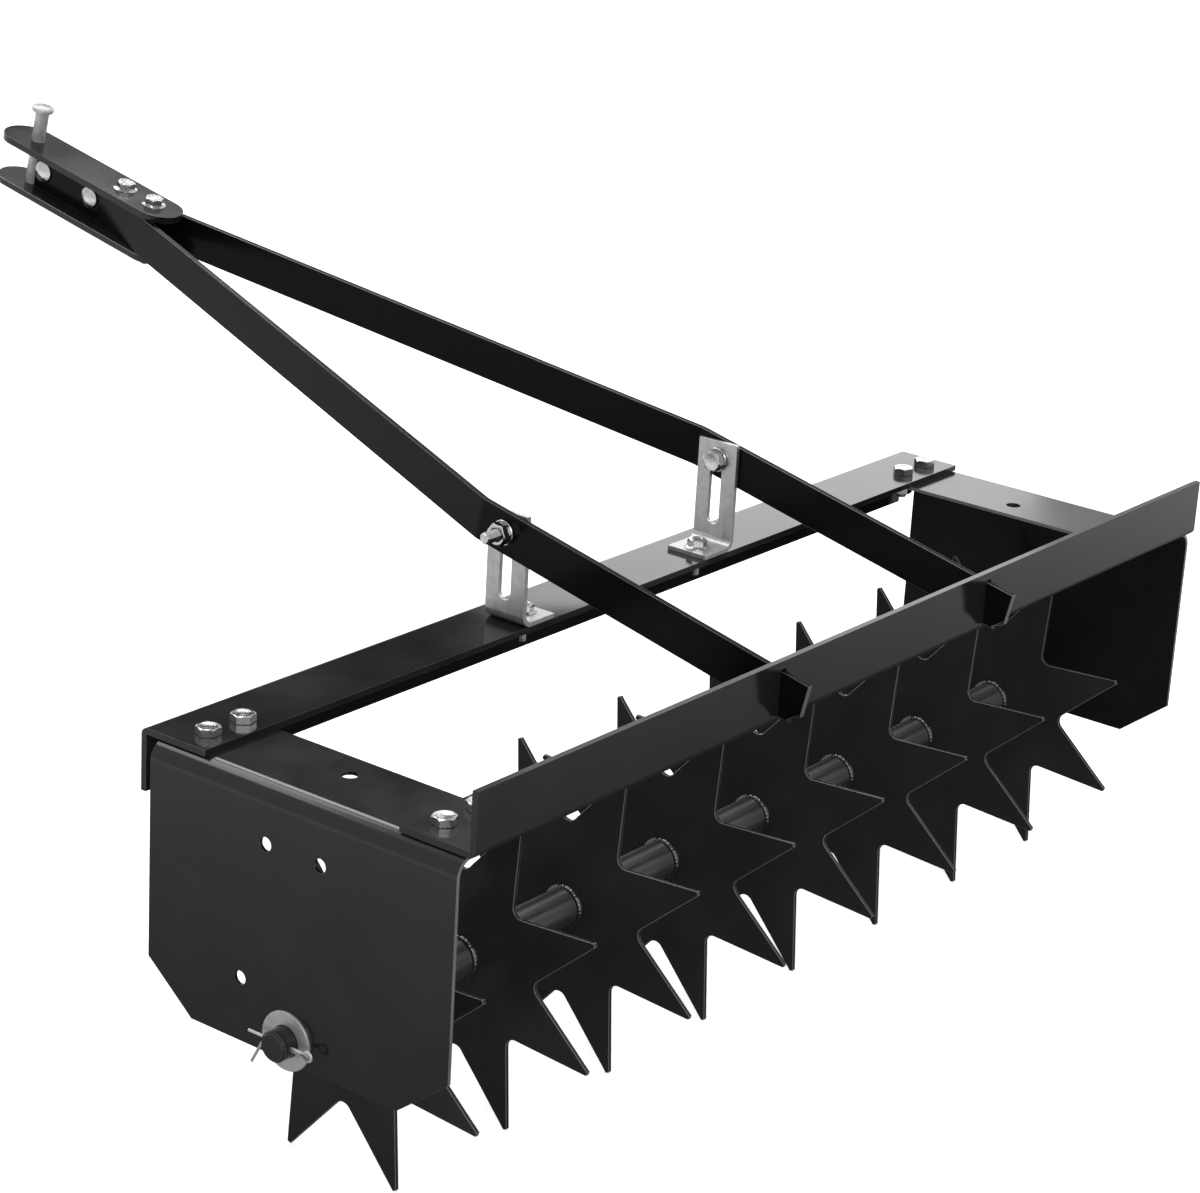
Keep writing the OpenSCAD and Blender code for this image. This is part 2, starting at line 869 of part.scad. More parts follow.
// Cross bolts: a low round head on the left bar, the shank through both bars
module cross_bolts() {
    crown = 3.5;
    ball_r = (pow(round_head_d / 2, 2) + crown * crown) / 2 / crown;
    length = 2 * bar_t + small_nut + bolt_tail;
    color(zinc)
        on_drawbar()
            for (v = [cross_first, cross_first + cross_gap])
                translate([-bar_t, hitch_reach - v, 0])
                    rotate([0, -90, 0]) {
                        cylinder(d = round_head_d, h = 1);
                        translate([0, 0, 1])
                            intersection() {
                                translate([0, 0, crown - ball_r])
                                    sphere(r = ball_r);
                                cylinder(d = round_head_d, h = crown);
                            }
                        translate([0, 0, -length])
                            cylinder(d = small_d, h = length);
                    }
}

module cross_nuts() {
    color(zinc)
        on_drawbar()
            for (v = [cross_first, cross_first + cross_gap])
                translate([bar_t, hitch_reach - v, 0])
                    rotate([0, -90, 0])
                        hex_nut(small_d, small_af, small_nut);
}

module hitch_pin() {
    tip_z = -bar_h / 2 - hitch_t - pin_below;
    head_z = bar_h / 2 + hitch_t + pin_raise;
    top_z = head_z + pin_head_t;
    r = pin_d / 2;
    head_r = pin_head_d / 2;
    color(zinc)
        on_drawbar()
            translate([0, hitch_reach, 0])
                rotate_extrude()
                    polygon([
                        [0, tip_z], [r - 1.5, tip_z], [r, tip_z + 1.5], [r, head_z],
                        [head_r - 0.6, head_z], [head_r, head_z + 0.6],
                        [head_r, top_z - 1.2], [head_r - 1.5, top_z], [0, top_z]
                    ]);
}

end_plate_left();
end_plate_right();
front_angle();
rear_angle();
corner_bolts();
corner_washers();
corner_nuts();
bracket_left();
bracket_right();
foot_bolts();
foot_nuts();
axle_rod();
axle_washers();
cotter_pin_left();
cotter_pin_right();
rotor_tube();
tube_bushes();
star(1);  // star_1
star(2);  // star_2
star(3);  // star_3
star(4);  // star_4
star(5);  // star_5
star(6);  // star_6
star(7);  // star_7
star(8);  // star_8
drawbar_left();
drawbar_right();
slot_bolts();
slot_washers();
slot_nuts();
hitch_plate_top();
hitch_plate_bottom();
clamp_bolts();
clamp_nuts();
cross_bolts();
cross_nuts();
hitch_pin();
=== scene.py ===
# %% [markdown]
# # A tow behind aerator
#
# The machine is pulled over a lawn behind a mower. Eight spiked star plates sit on a tube between
# two bent end plates. Two steel angles join the plates, and two flat bars meet in a hitch with a
# drop pin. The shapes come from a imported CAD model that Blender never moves. This lesson gives
# each part of it the rounded edges, threads, welds and finishes that a plain solid lacks.

import math

import bmesh
import bpy
from mathutils import Matrix, Vector


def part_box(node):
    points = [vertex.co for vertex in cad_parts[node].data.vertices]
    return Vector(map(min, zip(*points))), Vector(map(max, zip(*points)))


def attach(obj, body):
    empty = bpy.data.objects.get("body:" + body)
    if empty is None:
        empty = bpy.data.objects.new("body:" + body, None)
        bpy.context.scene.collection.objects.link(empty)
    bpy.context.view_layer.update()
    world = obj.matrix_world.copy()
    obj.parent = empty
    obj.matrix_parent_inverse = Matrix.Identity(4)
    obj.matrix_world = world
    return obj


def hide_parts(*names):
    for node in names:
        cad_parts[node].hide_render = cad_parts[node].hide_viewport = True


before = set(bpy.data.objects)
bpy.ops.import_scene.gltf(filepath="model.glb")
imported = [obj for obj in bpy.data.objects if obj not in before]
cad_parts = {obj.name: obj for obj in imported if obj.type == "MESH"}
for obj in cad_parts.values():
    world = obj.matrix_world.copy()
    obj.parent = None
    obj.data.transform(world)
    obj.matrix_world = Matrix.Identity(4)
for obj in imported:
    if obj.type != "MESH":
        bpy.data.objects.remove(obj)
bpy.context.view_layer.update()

# %% [markdown]
# ## Where the parts lie
#
# Blender works in metres here, and a machine drawing is in millimetres, so one factor turns one
# into the other. The places are measured on the CAD nodes themselves. The drawbar slopes, so it
# gets a matrix of its own: Y runs along the bars from the adjusting bolts to the hitch pin, and Z
# stands square to them. A bolt can then be placed by its distance along the bar.

# %% Measure the frame
MM = 0.001
DRAWBAR_RISE = math.radians(12.25)


def middle(node):
    low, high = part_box(node)
    return (low + high) / 2


axle = middle("axle_rod")
slot_axis = middle("slot_bolts")
drawbar = Matrix.Translation((0, slot_axis.y, slot_axis.z)) @ Matrix.Rotation(DRAWBAR_RISE, 4, "X")
plate_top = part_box("end_plate_left")[1].z
angle_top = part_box("front_angle")[1].z
print("axle centre:", [round(v / MM, 1) for v in axle])

# %% [markdown]
# ## The camera
#
# The photograph looks down on the machine from behind its left end. The camera stands nearly
# three metres away, looks 20 degrees down and leans 3 degrees. Its lens is known in pixels of a
# picture that is 1200 wide. Lens and place were found together, from points that the photograph
# shows clearly, such as bolt heads and the corners of the plates.

# %% Place the camera
PICTURE_W = 1200
FOCAL_PIXELS = 3315
CAMERA_PLACE = (-2.0794, -1.7755, 1.2387)
CAMERA_TURN, CAMERA_DOWN, CAMERA_LEAN = -52.978, 19.69, 3.363

camera_data = bpy.data.cameras.new("photo_camera")
camera_data.sensor_width = 36
camera_data.lens = FOCAL_PIXELS / PICTURE_W * camera_data.sensor_width
camera_data.clip_start, camera_data.clip_end = 0.05, 100
camera = bpy.data.objects.new("photo_camera", camera_data)
bpy.context.scene.collection.objects.link(camera)
camera.matrix_world = (
    Matrix.Translation(CAMERA_PLACE)
    @ Matrix.Rotation(math.radians(CAMERA_TURN), 4, "Z")
    @ Matrix.Rotation(math.radians(90 - CAMERA_DOWN), 4, "X")
    @ Matrix.Rotation(math.radians(CAMERA_LEAN), 4, "Z")
)
bpy.context.scene.camera = camera
print("lens:", round(camera_data.lens, 1), "mm")

# %% [markdown]
# ## Powder coat
#
# The steel is powder coated: a black plastic skin baked on in one layer. It is smooth, but under
# a lamp it shows a faint orange peel, and its gloss changes a little from place to place. Two
# noises make this. A broad one moves the shade and the roughness, and a fine one is only bump.
# They read Object coordinates, so the pattern has its real size and stays with the steel. Nearly
# all of a noise lies between 0.3 and 0.7, so that range is spread out to the full one.
#
# A black surface has almost no colour of its own, so what it mirrors makes its look. The frame's
# coat mirrors the bolt heads that stand on it. The bars are a deeper black and mirror less,
# and the weld beads are the glossiest. A coat is thin where steel has a sharp edge, and the grey
# shows through there, so an edge coat goes on the rounded edges. Its light grey is partly that
# thin coat and partly a painted highlight along every edge.

# %% Powder coat material
NOISE_LOW, NOISE_HIGH = 0.3, 0.7
PATCHES, PEEL = 14, 420
PEEL_STRENGTH, PEEL_DEPTH = 0.10, 0.00012


def noise_at(tree, scale, detail, roughness=0.5):
    place = tree.nodes.new("ShaderNodeTexCoord")
    noise = tree.nodes.new("ShaderNodeTexNoise")
    noise.inputs["Scale"].default_value = scale
    noise.inputs["Detail"].default_value = detail
    noise.inputs["Roughness"].default_value = roughness
    tree.links.new(place.outputs["Object"], noise.inputs["Vector"])
    return noise


def spread(tree, value, low, high):
    ramp = tree.nodes.new("ShaderNodeMapRange")
    ramp.inputs["From Min"].default_value = NOISE_LOW
    ramp.inputs["From Max"].default_value = NOISE_HIGH
    ramp.inputs["To Min"].default_value = low
    ramp.inputs["To Max"].default_value = high
    tree.links.new(value, ramp.inputs["Value"])
    return ramp.outputs["Result"]


def bump_from(tree, shader, value, strength, distance):
    bump = tree.nodes.new("ShaderNodeBump")
    bump.inputs["Strength"].default_value = strength
    bump.inputs["Distance"].default_value = distance
    tree.links.new(value, bump.inputs["Height"])
    tree.links.new(bump.outputs["Normal"], shader.inputs["Normal"])


def shade_between(tree, shader, value, dark, light):
    mix = tree.nodes.new("ShaderNodeMix")
    mix.data_type = "RGBA"
    mix.inputs["A"].default_value = (*dark, 1)
    mix.inputs["B"].default_value = (*light, 1)
    tree.links.new(spread(tree, value, 0, 1), mix.inputs["Factor"])
    tree.links.new(mix.outputs["Result"], shader.inputs["Base Color"])


def new_material(name):
    material = bpy.data.materials.new(name)
    material.use_nodes = True
    return material, material.node_tree, material.node_tree.nodes["Principled BSDF"]


def powder_coat(name, dark, light, gloss, specular):
    material, tree, shader = new_material(name)
    broad = noise_at(tree, PATCHES, detail=3)
    peel = noise_at(tree, PEEL, detail=2, roughness=0.4)
    shade_between(tree, shader, broad.outputs["Fac"], (dark,) * 3, (light,) * 3)
    tree.links.new(spread(tree, broad.outputs["Fac"], *gloss), shader.inputs["Roughness"])
    shader.inputs["Specular IOR Level"].default_value = specular
    bump_from(tree, shader, peel.outputs["Fac"], PEEL_STRENGTH, PEEL_DEPTH)
    return material


frame_coat = powder_coat("satin_black_coat", 0.0100, 0.0140, (0.11, 0.16), 0.24)
drawbar_coat = powder_coat("deep_black_coat", 0.0030, 0.0050, (0.16, 0.22), 0.06)
rotor_coat = powder_coat("gloss_black_coat", 0.0180, 0.0260, (0.13, 0.19), 0.16)
weld_coat = powder_coat("weld_black_coat", 0.0100, 0.0160, (0.10, 0.14), 0.90)
# The tube's lighter base is painted light: it brightens the tube and its band
lightened_tube_coat = powder_coat("tube_black_coat_painted_lighter", 0.0300, 0.0450, (0.36, 0.42), 1.00)
# The edge coat's light grey is partly a thin coat and partly a painted highlight on edges
thin_coat_and_highlight = powder_coat("thin_coat_and_painted_edge_highlight", 0.0900, 0.1500, (0.28, 0.38), 0.40)
coats = (frame_coat, drawbar_coat, rotor_coat, weld_coat, lightened_tube_coat, thin_coat_and_highlight)
print("coats:", *(coat.name for coat in coats))

# %% [markdown]
# ## A drawn-out gloss for the tube
#
# The tube was turned in the lathe, and the fine rings under its coat stretch every highlight
# along the tube into one bright band. The shader calls this anisotropy. It needs to know the
# direction of the band, which is the tube's own X axis. A Vector Transform node turns that axis
# with the rotor, so the band stays along the tube when the rotor rolls. The tube's coat also has a
# lighter base than the other black coats: painted light that brightens the tube and its band.

# %% Stretch the tube's highlight
tube_shader = lightened_tube_coat.node_tree.nodes["Principled BSDF"]
along_tube = lightened_tube_coat.node_tree.nodes.new("ShaderNodeVectorTransform")
along_tube.vector_type = "VECTOR"
along_tube.convert_from, along_tube.convert_to = "OBJECT", "WORLD"
along_tube.inputs["Vector"].default_value = (1, 0, 0)
lightened_tube_coat.node_tree.links.new(along_tube.outputs["Vector"], tube_shader.inputs["Tangent"])
tube_shader.inputs["Anisotropic"].default_value = 0.95
print("tube coat nodes:", len(lightened_tube_coat.node_tree.nodes))

# %% [markdown]
# ## Zinc, galvanised steel and nylon
#
# Bolts and nuts are zinc plated: bright metal with a cloudy skin and shallow forging dents, which
# break up what they mirror. The axle washers and the cotter pins have a duller zinc, so they are
# less metallic and rougher. The two slotted brackets are galvanised, with faint crystals and
# brushed lines: a cell pattern and a noise that is stretched along Z share the shade. The hitch
# pin has the same upright lines, because its rod was drawn through a die. The bushes are dark
# nylon, which is rough and not metallic at all.

# %% Bright zinc, galvanised steel and nylon materials
DENTS = 800
CRYSTALS, CRYSTAL_SHARE = 210, 0.25
BRUSH_LINES, BRUSH_STRETCH = 620, 0.05


def bluish(grey):
    return (grey, grey, grey + 0.005)


def plated(name, dark, light, gloss, clouds, metallic):
    material, tree, shader = new_material(name)
    cloud = noise_at(tree, clouds, detail=4, roughness=0.6)
    dents = noise_at(tree, DENTS, detail=3)
    shade_between(tree, shader, cloud.outputs["Fac"], bluish(dark), bluish(light))
    tree.links.new(spread(tree, cloud.outputs["Fac"], *gloss), shader.inputs["Roughness"])
    shader.inputs["Metallic"].default_value = metallic
    bump_from(tree, shader, dents.outputs["Fac"], strength=0.40, distance=0.0003)
    return material


def galvanised(name, dark, light, metallic):
    material, tree, shader = new_material(name)
    place = tree.nodes.new("ShaderNodeTexCoord")
    crystals = tree.nodes.new("ShaderNodeTexVoronoi")
    crystals.inputs["Scale"].default_value = CRYSTALS
    tree.links.new(place.outputs["Object"], crystals.inputs["Vector"])
    split = tree.nodes.new("ShaderNodeSeparateColor")
    tree.links.new(crystals.outputs["Color"], split.inputs["Color"])
    stretch = tree.nodes.new("ShaderNodeMapping")
    stretch.inputs["Scale"].default_value = (1, 1, BRUSH_STRETCH)
    tree.links.new(place.outputs["Object"], stretch.inputs["Vector"])
    brushed = tree.nodes.new("ShaderNodeTexNoise")
    brushed.inputs["Scale"].default_value = BRUSH_LINES
    brushed.inputs["Detail"].default_value = 3
    tree.links.new(stretch.outputs["Vector"], brushed.inputs["Vector"])
    both = tree.nodes.new("ShaderNodeMix")
    both.inputs["Factor"].default_value = CRYSTAL_SHARE
    tree.links.new(brushed.outputs["Fac"], both.inputs["A"])
    tree.links.new(split.outputs["Red"], both.inputs["B"])
    shade_between(tree, shader, both.outputs["Result"], bluish(dark), bluish(light))
    tree.links.new(spread(tree, brushed.outputs["Fac"], 0.28, 0.42), shader.inputs["Roughness"])
    shader.inputs["Metallic"].default_value = metallic
    bump_from(tree, shader, brushed.outputs["Fac"], strength=0.10, distance=0.00006)
    return material


bright_zinc = plated("bright_zinc", 0.360, 0.500, (0.08, 0.17), 160, 1.0)
satin_zinc = plated("satin_zinc", 0.400, 0.480, (0.30, 0.42), 90, 0.65)
galvanised_steel = galvanised("galvanised_steel", 0.385, 0.485, 0.85)
drawn_zinc = galvanised("drawn_zinc", 0.320, 0.520, 0.22)

dark_nylon, nylon_tree, nylon_shader = new_material("dark_nylon")
nylon_cloud = noise_at(nylon_tree, 300, detail=3)
shade_between(nylon_tree, nylon_shader, nylon_cloud.outputs["Fac"], (0.016,) * 3, (0.026,) * 3)
nylon_gloss = spread(nylon_tree, nylon_cloud.outputs["Fac"], 0.42, 0.55)
nylon_tree.links.new(nylon_gloss, nylon_shader.inputs["Roughness"])
bump_from(nylon_tree, nylon_shader, nylon_cloud.outputs["Fac"], strength=0.2, distance=0.00005)
metals = (bright_zinc, satin_zinc, galvanised_steel, drawn_zinc)
print("metals:", *(metal.name for metal in metals), "and", dark_nylon.name)

# %% [markdown]
# ## How a piece is finished
#
# Every new piece goes through the same last steps. Its bmesh becomes an object at the origin,
# with its place in its vertices. It gets its finish, rides on the body that carries it, and hides
# the CAD nodes it stands for. A small Bevel rounds the edges, because no real steel edge is
# perfectly sharp, and the thin light line along it comes from that rounding and, on coated steel,
# from the second material that the bevel gives its strips: the thin coat with its painted
# highlight. Weighted normals keep the large faces flat beside the small rounded ones.


# %% Helper that turns a bmesh into a piece
def piece(
    bm, name, body, material, stands_for,
    rounding=0.0, steps=2, sharp=35, even=False, edge=None,
):
    """Rounding is in millimetres, sharp in degrees, and edge is the finish of the rounded edges."""
    mesh = bpy.data.meshes.new(name)
    bm.to_mesh(mesh)
    bm.free()
    mesh.materials.append(material)
    if edge:
        mesh.materials.append(edge)
    mesh.shade_smooth()
    made = bpy.data.objects.new(name, mesh)
    bpy.context.scene.collection.objects.link(made)
    if rounding:
        bevel = made.modifiers.new("rounded_edges", "BEVEL")
        bevel.width = rounding * MM
        bevel.segments = steps
        bevel.limit_method = "ANGLE"
        bevel.angle_limit = math.radians(sharp)
        bevel.use_clamp_overlap = True
        # The bevel strips get the edge coat: thin coat plus a painted highlight
        bevel.material = 1 if edge else -1
    else:
        mesh.set_sharp_from_angle(angle=math.radians(sharp))
    if rounding or even:
        weighted = made.modifiers.new("even_shading", "WEIGHTED_NORMAL")
        weighted.weight = 80
        weighted.keep_sharp = True
    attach(made, body)
    if stands_for:
        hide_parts(*stands_for)
    return made


# %% [markdown]
# ## Bent and cut sheet
#
# The end plates, the angles, the bars, the brackets, the hitch plates and the axle rod are right
# as the CAD model has them, apart from their razor edges. So each starts as a copy of its node's
# mesh. The copy is a soup of loose triangles: doubles are merged, and triangles that lie in one
# plane are dissolved into one face, because a bevel needs clean edges to run along.
#
# The narrow faces where a plate or a bar was cut get the edge coat too: the coat is thin there,
# and their lighter grey is also a painted highlight. They are found by their shape: long, no wider
# than the sheet is thick, with a square corner on each side, which the strips of a bend don't have.

# %% Sheet parts from the CAD nodes
WELD_WITHIN = 2e-6
FLAT_WITHIN = math.radians(0.15)


def copy_of(node):
    bm = bmesh.new()
    bm.from_mesh(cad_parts[node].data)
    bmesh.ops.remove_doubles(bm, verts=bm.verts, dist=WELD_WITHIN)
    bmesh.ops.dissolve_limit(
        bm, angle_limit=FLAT_WITHIN, verts=bm.verts, edges=bm.edges,
        use_dissolve_boundaries=False,
    )
    return bm


SHEET_PARTS = [
    ("end_plate_left", "frame", "black_coat", frame_coat, 0.7),
    ("end_plate_right", "frame", "black_coat", frame_coat, 0.7),
    ("front_angle", "frame", "black_coat", frame_coat, 0.7),
    ("rear_angle", "frame", "black_coat", frame_coat, 0.7),
    ("drawbar_left", "drawbar", "black_coat", drawbar_coat, 0.9),
    ("drawbar_right", "drawbar", "black_coat", drawbar_coat, 0.9),
    ("hitch_plate_top", "drawbar", "black_coat", frame_coat, 0.9),
    ("hitch_plate_bottom", "drawbar", "black_coat", frame_coat, 0.9),
    ("bracket_left", "frame", "galvanised_steel", galvanised_steel, 0.5),
    ("bracket_right", "frame", "galvanised_steel", galvanised_steel, 0.5),
    ("axle_rod", "frame", "black_rotor", rotor_coat, 0.4),
]
CUT_EDGE_PARTS = ("end_plate_left", "end_plate_right", "drawbar_left", "drawbar_right")
CUT_LENGTH, CUT_WIDTH = 20 * MM, 5.5 * MM
SQUARE_CORNER = math.radians(60)


def mark_cut_edges(bm):
    """Gives the long narrow faces between two square corners the second material."""
    for face in bm.faces:
        long_edges = [edge for edge in face.edges if edge.calc_length() > CUT_LENGTH]
        square = all(edge.calc_face_angle(0) > SQUARE_CORNER for edge in long_edges)
        if long_edges and square:
            longest = max(edge.calc_length() for edge in long_edges)
            if face.calc_area() < longest * CUT_WIDTH:
                # Cut faces get the lighter edge coat: thin coat plus a painted highlight
                face.material_index = 1


for node, body, slot, material, rounding in SHEET_PARTS:
    # Coated parts get the edge coat on rounded and cut edges: thin coat plus a painted highlight
    edge_highlight_finish = None if slot == "galvanised_steel" else thin_coat_and_highlight
    sheet = copy_of(node)
    if node in CUT_EDGE_PARTS:
        mark_cut_edges(sheet)
    part = piece(sheet, node + "_steel", body, material, [node], rounding, 3, edge=edge_highlight_finish)
    print(part.name, len(part.data.polygons), "faces before rounding")

# %% [markdown]
# ## Turned parts
#
# The tube, the washers, the bushes and the hitch pin are round, so each is a profile of radius
# and height that is spun round Z, as on a lathe. A helper draws the profile in millimetres and
# spins it once all the way round, with use_merge, so that the last step closes on the first.


# %% Helper that turns a profile
def turn(profile, steps=48, ring=False):
    """Spins (radius, height) points; ring joins the last point to the first for a hollow part."""
    bm = bmesh.new()
    verts = [bm.verts.new((r * MM, 0, z * MM)) for r, z in profile]
    edges = [bm.edges.new(pair) for pair in zip(verts, verts[1:])]
    if ring:
        edges.append(bm.edges.new((verts[-1], verts[0])))
    bmesh.ops.spin(
        bm, geom=verts + edges, cent=(0, 0, 0), axis=(0, 0, 1), angle=2 * math.pi,
        steps=steps, use_merge=True,
    )
    bmesh.ops.remove_doubles(bm, verts=bm.verts, dist=1e-6)
    bmesh.ops.recalc_face_normals(bm, faces=bm.faces)
    return bm


def at_places(bm, places):
    """One bmesh with a copy of the given one at each place."""
    shape = bpy.data.meshes.new("shape")
    bm.to_mesh(shape)
    bm.free()
    whole = bmesh.new()
    for place in places:
        first = len(whole.verts)
        whole.from_mesh(shape)
        whole.verts.ensure_lookup_table()
        bmesh.ops.transform(whole, matrix=place, verts=whole.verts[first:])
    bpy.data.meshes.remove(shape)
    return whole


def along_x(x, side=1):
    """A place on the axle, Z pointing to the right, or to the left for side -1."""
    turned = Matrix.Rotation(side * math.pi / 2, 4, "Y")
    return Matrix.Translation((x * MM, axle.y, axle.z)) @ turned


# %% [markdown]
# ## The rotor tube and its bushes
#
# The tube is a hollow ring of 32 mm with a 2.5 mm wall. A nylon bush closes each end: its collar
# runs against the end plate, and its sleeve runs on the axle rod inside the tube.

# %% Tube and bushes
TUBE_R, TUBE_WALL = 16, 2.5
TUBE_BORE = TUBE_R - TUBE_WALL
ROD_R, AXLE_PLAY = 12, 0.25
tube_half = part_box("rotor_tube")[1].x / MM


def tube_wall(inner, outer, low, high, edge=0.4):
    """The profile of a ring whose four corners are cut off by edge."""
    return [
        (inner, low + edge), (inner + edge, low), (outer - edge, low), (outer, low + edge),
        (outer, high - edge), (outer - edge, high), (inner + edge, high), (inner, high - edge),
    ]


tube = turn(tube_wall(TUBE_BORE, TUBE_R, -tube_half, tube_half), 64, ring=True)
bmesh.ops.transform(tube, matrix=along_x(0), verts=tube.verts)
piece(tube, "rotor_tube_steel", "rotor", lightened_tube_coat, ["rotor_tube"], sharp=40)

BUSH_BORE, SLEEVE_R, SLEEVE_LENGTH = ROD_R + AXLE_PLAY, TUBE_BORE - 0.15, 20
COLLAR_R, COLLAR_T = 15.9, 2.5
bush_profile = [
    (BUSH_BORE, COLLAR_T), (BUSH_BORE, -SLEEVE_LENGTH), (SLEEVE_R, -SLEEVE_LENGTH),
    (SLEEVE_R, -0.1), (COLLAR_R - 0.3, -0.1), (COLLAR_R, 0.3),
    (COLLAR_R, COLLAR_T - 0.4), (COLLAR_R - 0.4, COLLAR_T),
]
tube_ends = [along_x(tube_half), along_x(-tube_half, -1)]
bushes = at_places(turn(bush_profile, 48, ring=True), tube_ends)
piece(bushes, "tube_bushes_nylon", "rotor", dark_nylon, ["tube_bushes"], sharp=40)
print("tube:", round(2 * tube_half, 1), "mm long")

# %% [markdown]
# ## Star plates
#
# A star is cut from 3.5 mm plate: eight straight-sided spikes with blunt tips, and a small round
# floor in each valley. One spike and half a valley on each side repeat eight times, so a single
# face is drawn for that eighth, copied round by spin and welded. It is then extruded to its
# thickness, and the rim is rounded with the bevel operator, which gives the thin light line along
# every spike; the rounded faces get the lighter edge coat, which adds a painted highlight to it.
# The stars' places are measured on the CAD nodes.

# %% Draw one eighth of a star
STAR_R, VALLEY_R, VALLEY_ROUND, TIP_HALF = 138, 74, 8, 1.7
STAR_T = 3.5
STAR_BORE = TUBE_R + 0.1
RIM_ROUNDING = 0.55
SPIKES = 8
HALF_STEP = math.pi / SPIKES


def polar(radius, angle):
    """The point at this radius and angle, in the plane."""
    return Vector((radius * math.cos(angle), radius * math.sin(angle)))


def spike_side():
    """Half an eighth, from the tip to the middle of the valley floor, as points in mm."""
    tip = Vector((STAR_R, TIP_HALF))
    mid = polar(VALLEY_R + VALLEY_ROUND, HALF_STEP)
    run = mid - tip
    aim = math.atan2(run.y, run.x) + math.asin(VALLEY_ROUND / run.length)
    edge = tip + polar(math.sqrt(run.length_squared - VALLEY_ROUND**2), aim)
    start = math.atan2(edge.y - mid.y, edge.x - mid.x) % (2 * math.pi)
    end = HALF_STEP + math.pi
    floor = [mid + polar(VALLEY_ROUND, start + (end - start) * k / 7) for k in range(8)]
    return [tip, *floor]


def star_plate():
    bm = bmesh.new()
    side = spike_side()
    bore = [polar(STAR_BORE, HALF_STEP * (1 - k / 3)) for k in range(7)]
    mirrored = [Vector((p.x, -p.y)) for p in side]
    outline = side + bore + mirrored[::-1]
    verts = [bm.verts.new((p.x * MM, p.y * MM, 0)) for p in outline]
    face = bm.faces.new(verts)
    bmesh.ops.spin(
        bm, geom=[face, *face.edges, *face.verts], cent=(0, 0, 0), axis=(0, 0, 1),
        angle=2 * HALF_STEP * (SPIKES - 1), steps=SPIKES - 1, use_duplicate=True,
    )
    bmesh.ops.remove_doubles(bm, verts=bm.verts, dist=WELD_WITHIN)
    sheet = bmesh.ops.extrude_face_region(bm, geom=bm.faces[:])
    lifted = [v for v in sheet["geom"] if isinstance(v, bmesh.types.BMVert)]
    bmesh.ops.translate(bm, vec=(0, 0, STAR_T * MM), verts=lifted)
    bmesh.ops.translate(bm, vec=(0, 0, -STAR_T / 2 * MM), verts=bm.verts)
    bmesh.ops.recalc_face_normals(bm, faces=bm.faces)
    rim = [e for e in bm.edges if e.calc_face_angle(0) > SQUARE_CORNER]
    rounded = bmesh.ops.bevel(
        bm, geom=rim, offset=RIM_ROUNDING * MM, offset_type="OFFSET", segments=2, profile=0.5,
        affect="EDGES", material=-1, clamp_overlap=True,
    )
    # The rounded rim gets the lighter edge coat: thin coat plus a painted highlight
    for face in rounded["faces"]:
        face.material_index = 1
    return bm


STAR_TURN = Matrix.Rotation(HALF_STEP, 4, "Z")
star_x = [middle(f"star_{k}").x / MM for k in range(1, 9)]
for k, x in enumerate(star_x, 1):
    star = star_plate()
    bmesh.ops.transform(star, matrix=along_x(x) @ STAR_TURN, verts=star.verts)
    made = piece(
        star, f"star_plate_{k}", "rotor", rotor_coat, [f"star_{k}"],
        sharp=50, even=True, edge=thin_coat_and_highlight,
    )
print("stars:", len(star_x), "of", len(made.data.polygons), "faces")

# %% [markdown]
# ## Weld beads
#
# A bead of weld holds each star to the tube on both sides. It was laid down in overlapping
# puddles, so it has ripples. A quarter round is turned with the lathe helper, then its points are
# pushed in and out a little as the puddles go round. It reaches a little way into the tube and
# the star, so no gap shows under it.

# %% Ripple the weld beads
BEAD, SUNK_IN, SUNK_BACK = 3.0, 0.3, 0.2
RIPPLES, RIPPLE_OUT, RIPPLE_UP = 34, 0.16, 0.10


def weld_bead():
    arc = [math.radians(a) for a in (0, 18, 36, 54, 72, 90)]
    inner, low = TUBE_R - SUNK_IN, -SUNK_BACK
    across, up = BEAD + SUNK_IN, BEAD + SUNK_BACK
    profile = [(inner + across * math.cos(a), low + up * math.sin(a)) for a in arc]
    bm = turn([(inner, low), *profile], 4 * RIPPLES, ring=True)
    for v in bm.verts:
        radius = math.hypot(v.co.x, v.co.y)
        if radius < TUBE_R * MM or v.co.z < 0:
            continue
        angle = math.atan2(v.co.y, v.co.x)
        wave = abs(math.sin(RIPPLES / 2 * angle)) ** 0.6 - 0.75
        wander = 0.10 * math.sin(3 * angle + 1.0) + 0.07 * math.sin(7 * angle)
        grow = 1 + (RIPPLE_OUT * wave + wander) * MM * 2 / radius
        rise = 1 + RIPPLE_UP * wave + 0.5 * wander
        v.co = Vector((v.co.x * grow, v.co.y * grow, v.co.z * rise))
    return bm


for k, x in enumerate(star_x, 1):
    beads = at_places(weld_bead(), [along_x(x + STAR_T / 2), along_x(x - STAR_T / 2, -1)])
    piece(beads, f"star_weld_{k}", "rotor", weld_coat, [], sharp=60)
print("weld beads:", 2 * len(star_x))

# %% [markdown]
# ## Washers and the hitch pin
#
# A washer is a short tube with its edges broken, so the profile of the tube serves again. The
# axle washers are wide and thin, the bolt washers small. The hitch pin is a turned rod with a
# thin flat head and a coned end, so that it finds its hole. The photograph shows it pulled up, so
# its head stands clear of the hitch plate.

# %% Washers and pin
AXLE_WASHER_R, AXLE_WASHER_T = 23, 2.5
plate_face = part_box("end_plate_right")[1].x / MM


def washer(bore, outer, thick, edge=0.35):
    return turn(tube_wall(bore, outer, 0, thick, edge), 64, ring=True)


axle_washers = at_places(
    washer(ROD_R + AXLE_PLAY, AXLE_WASHER_R, AXLE_WASHER_T),
    [along_x(plate_face), along_x(-plate_face, -1)],
)
piece(axle_washers, "axle_washers_zinc", "frame", satin_zinc, ["axle_washers"], sharp=40)

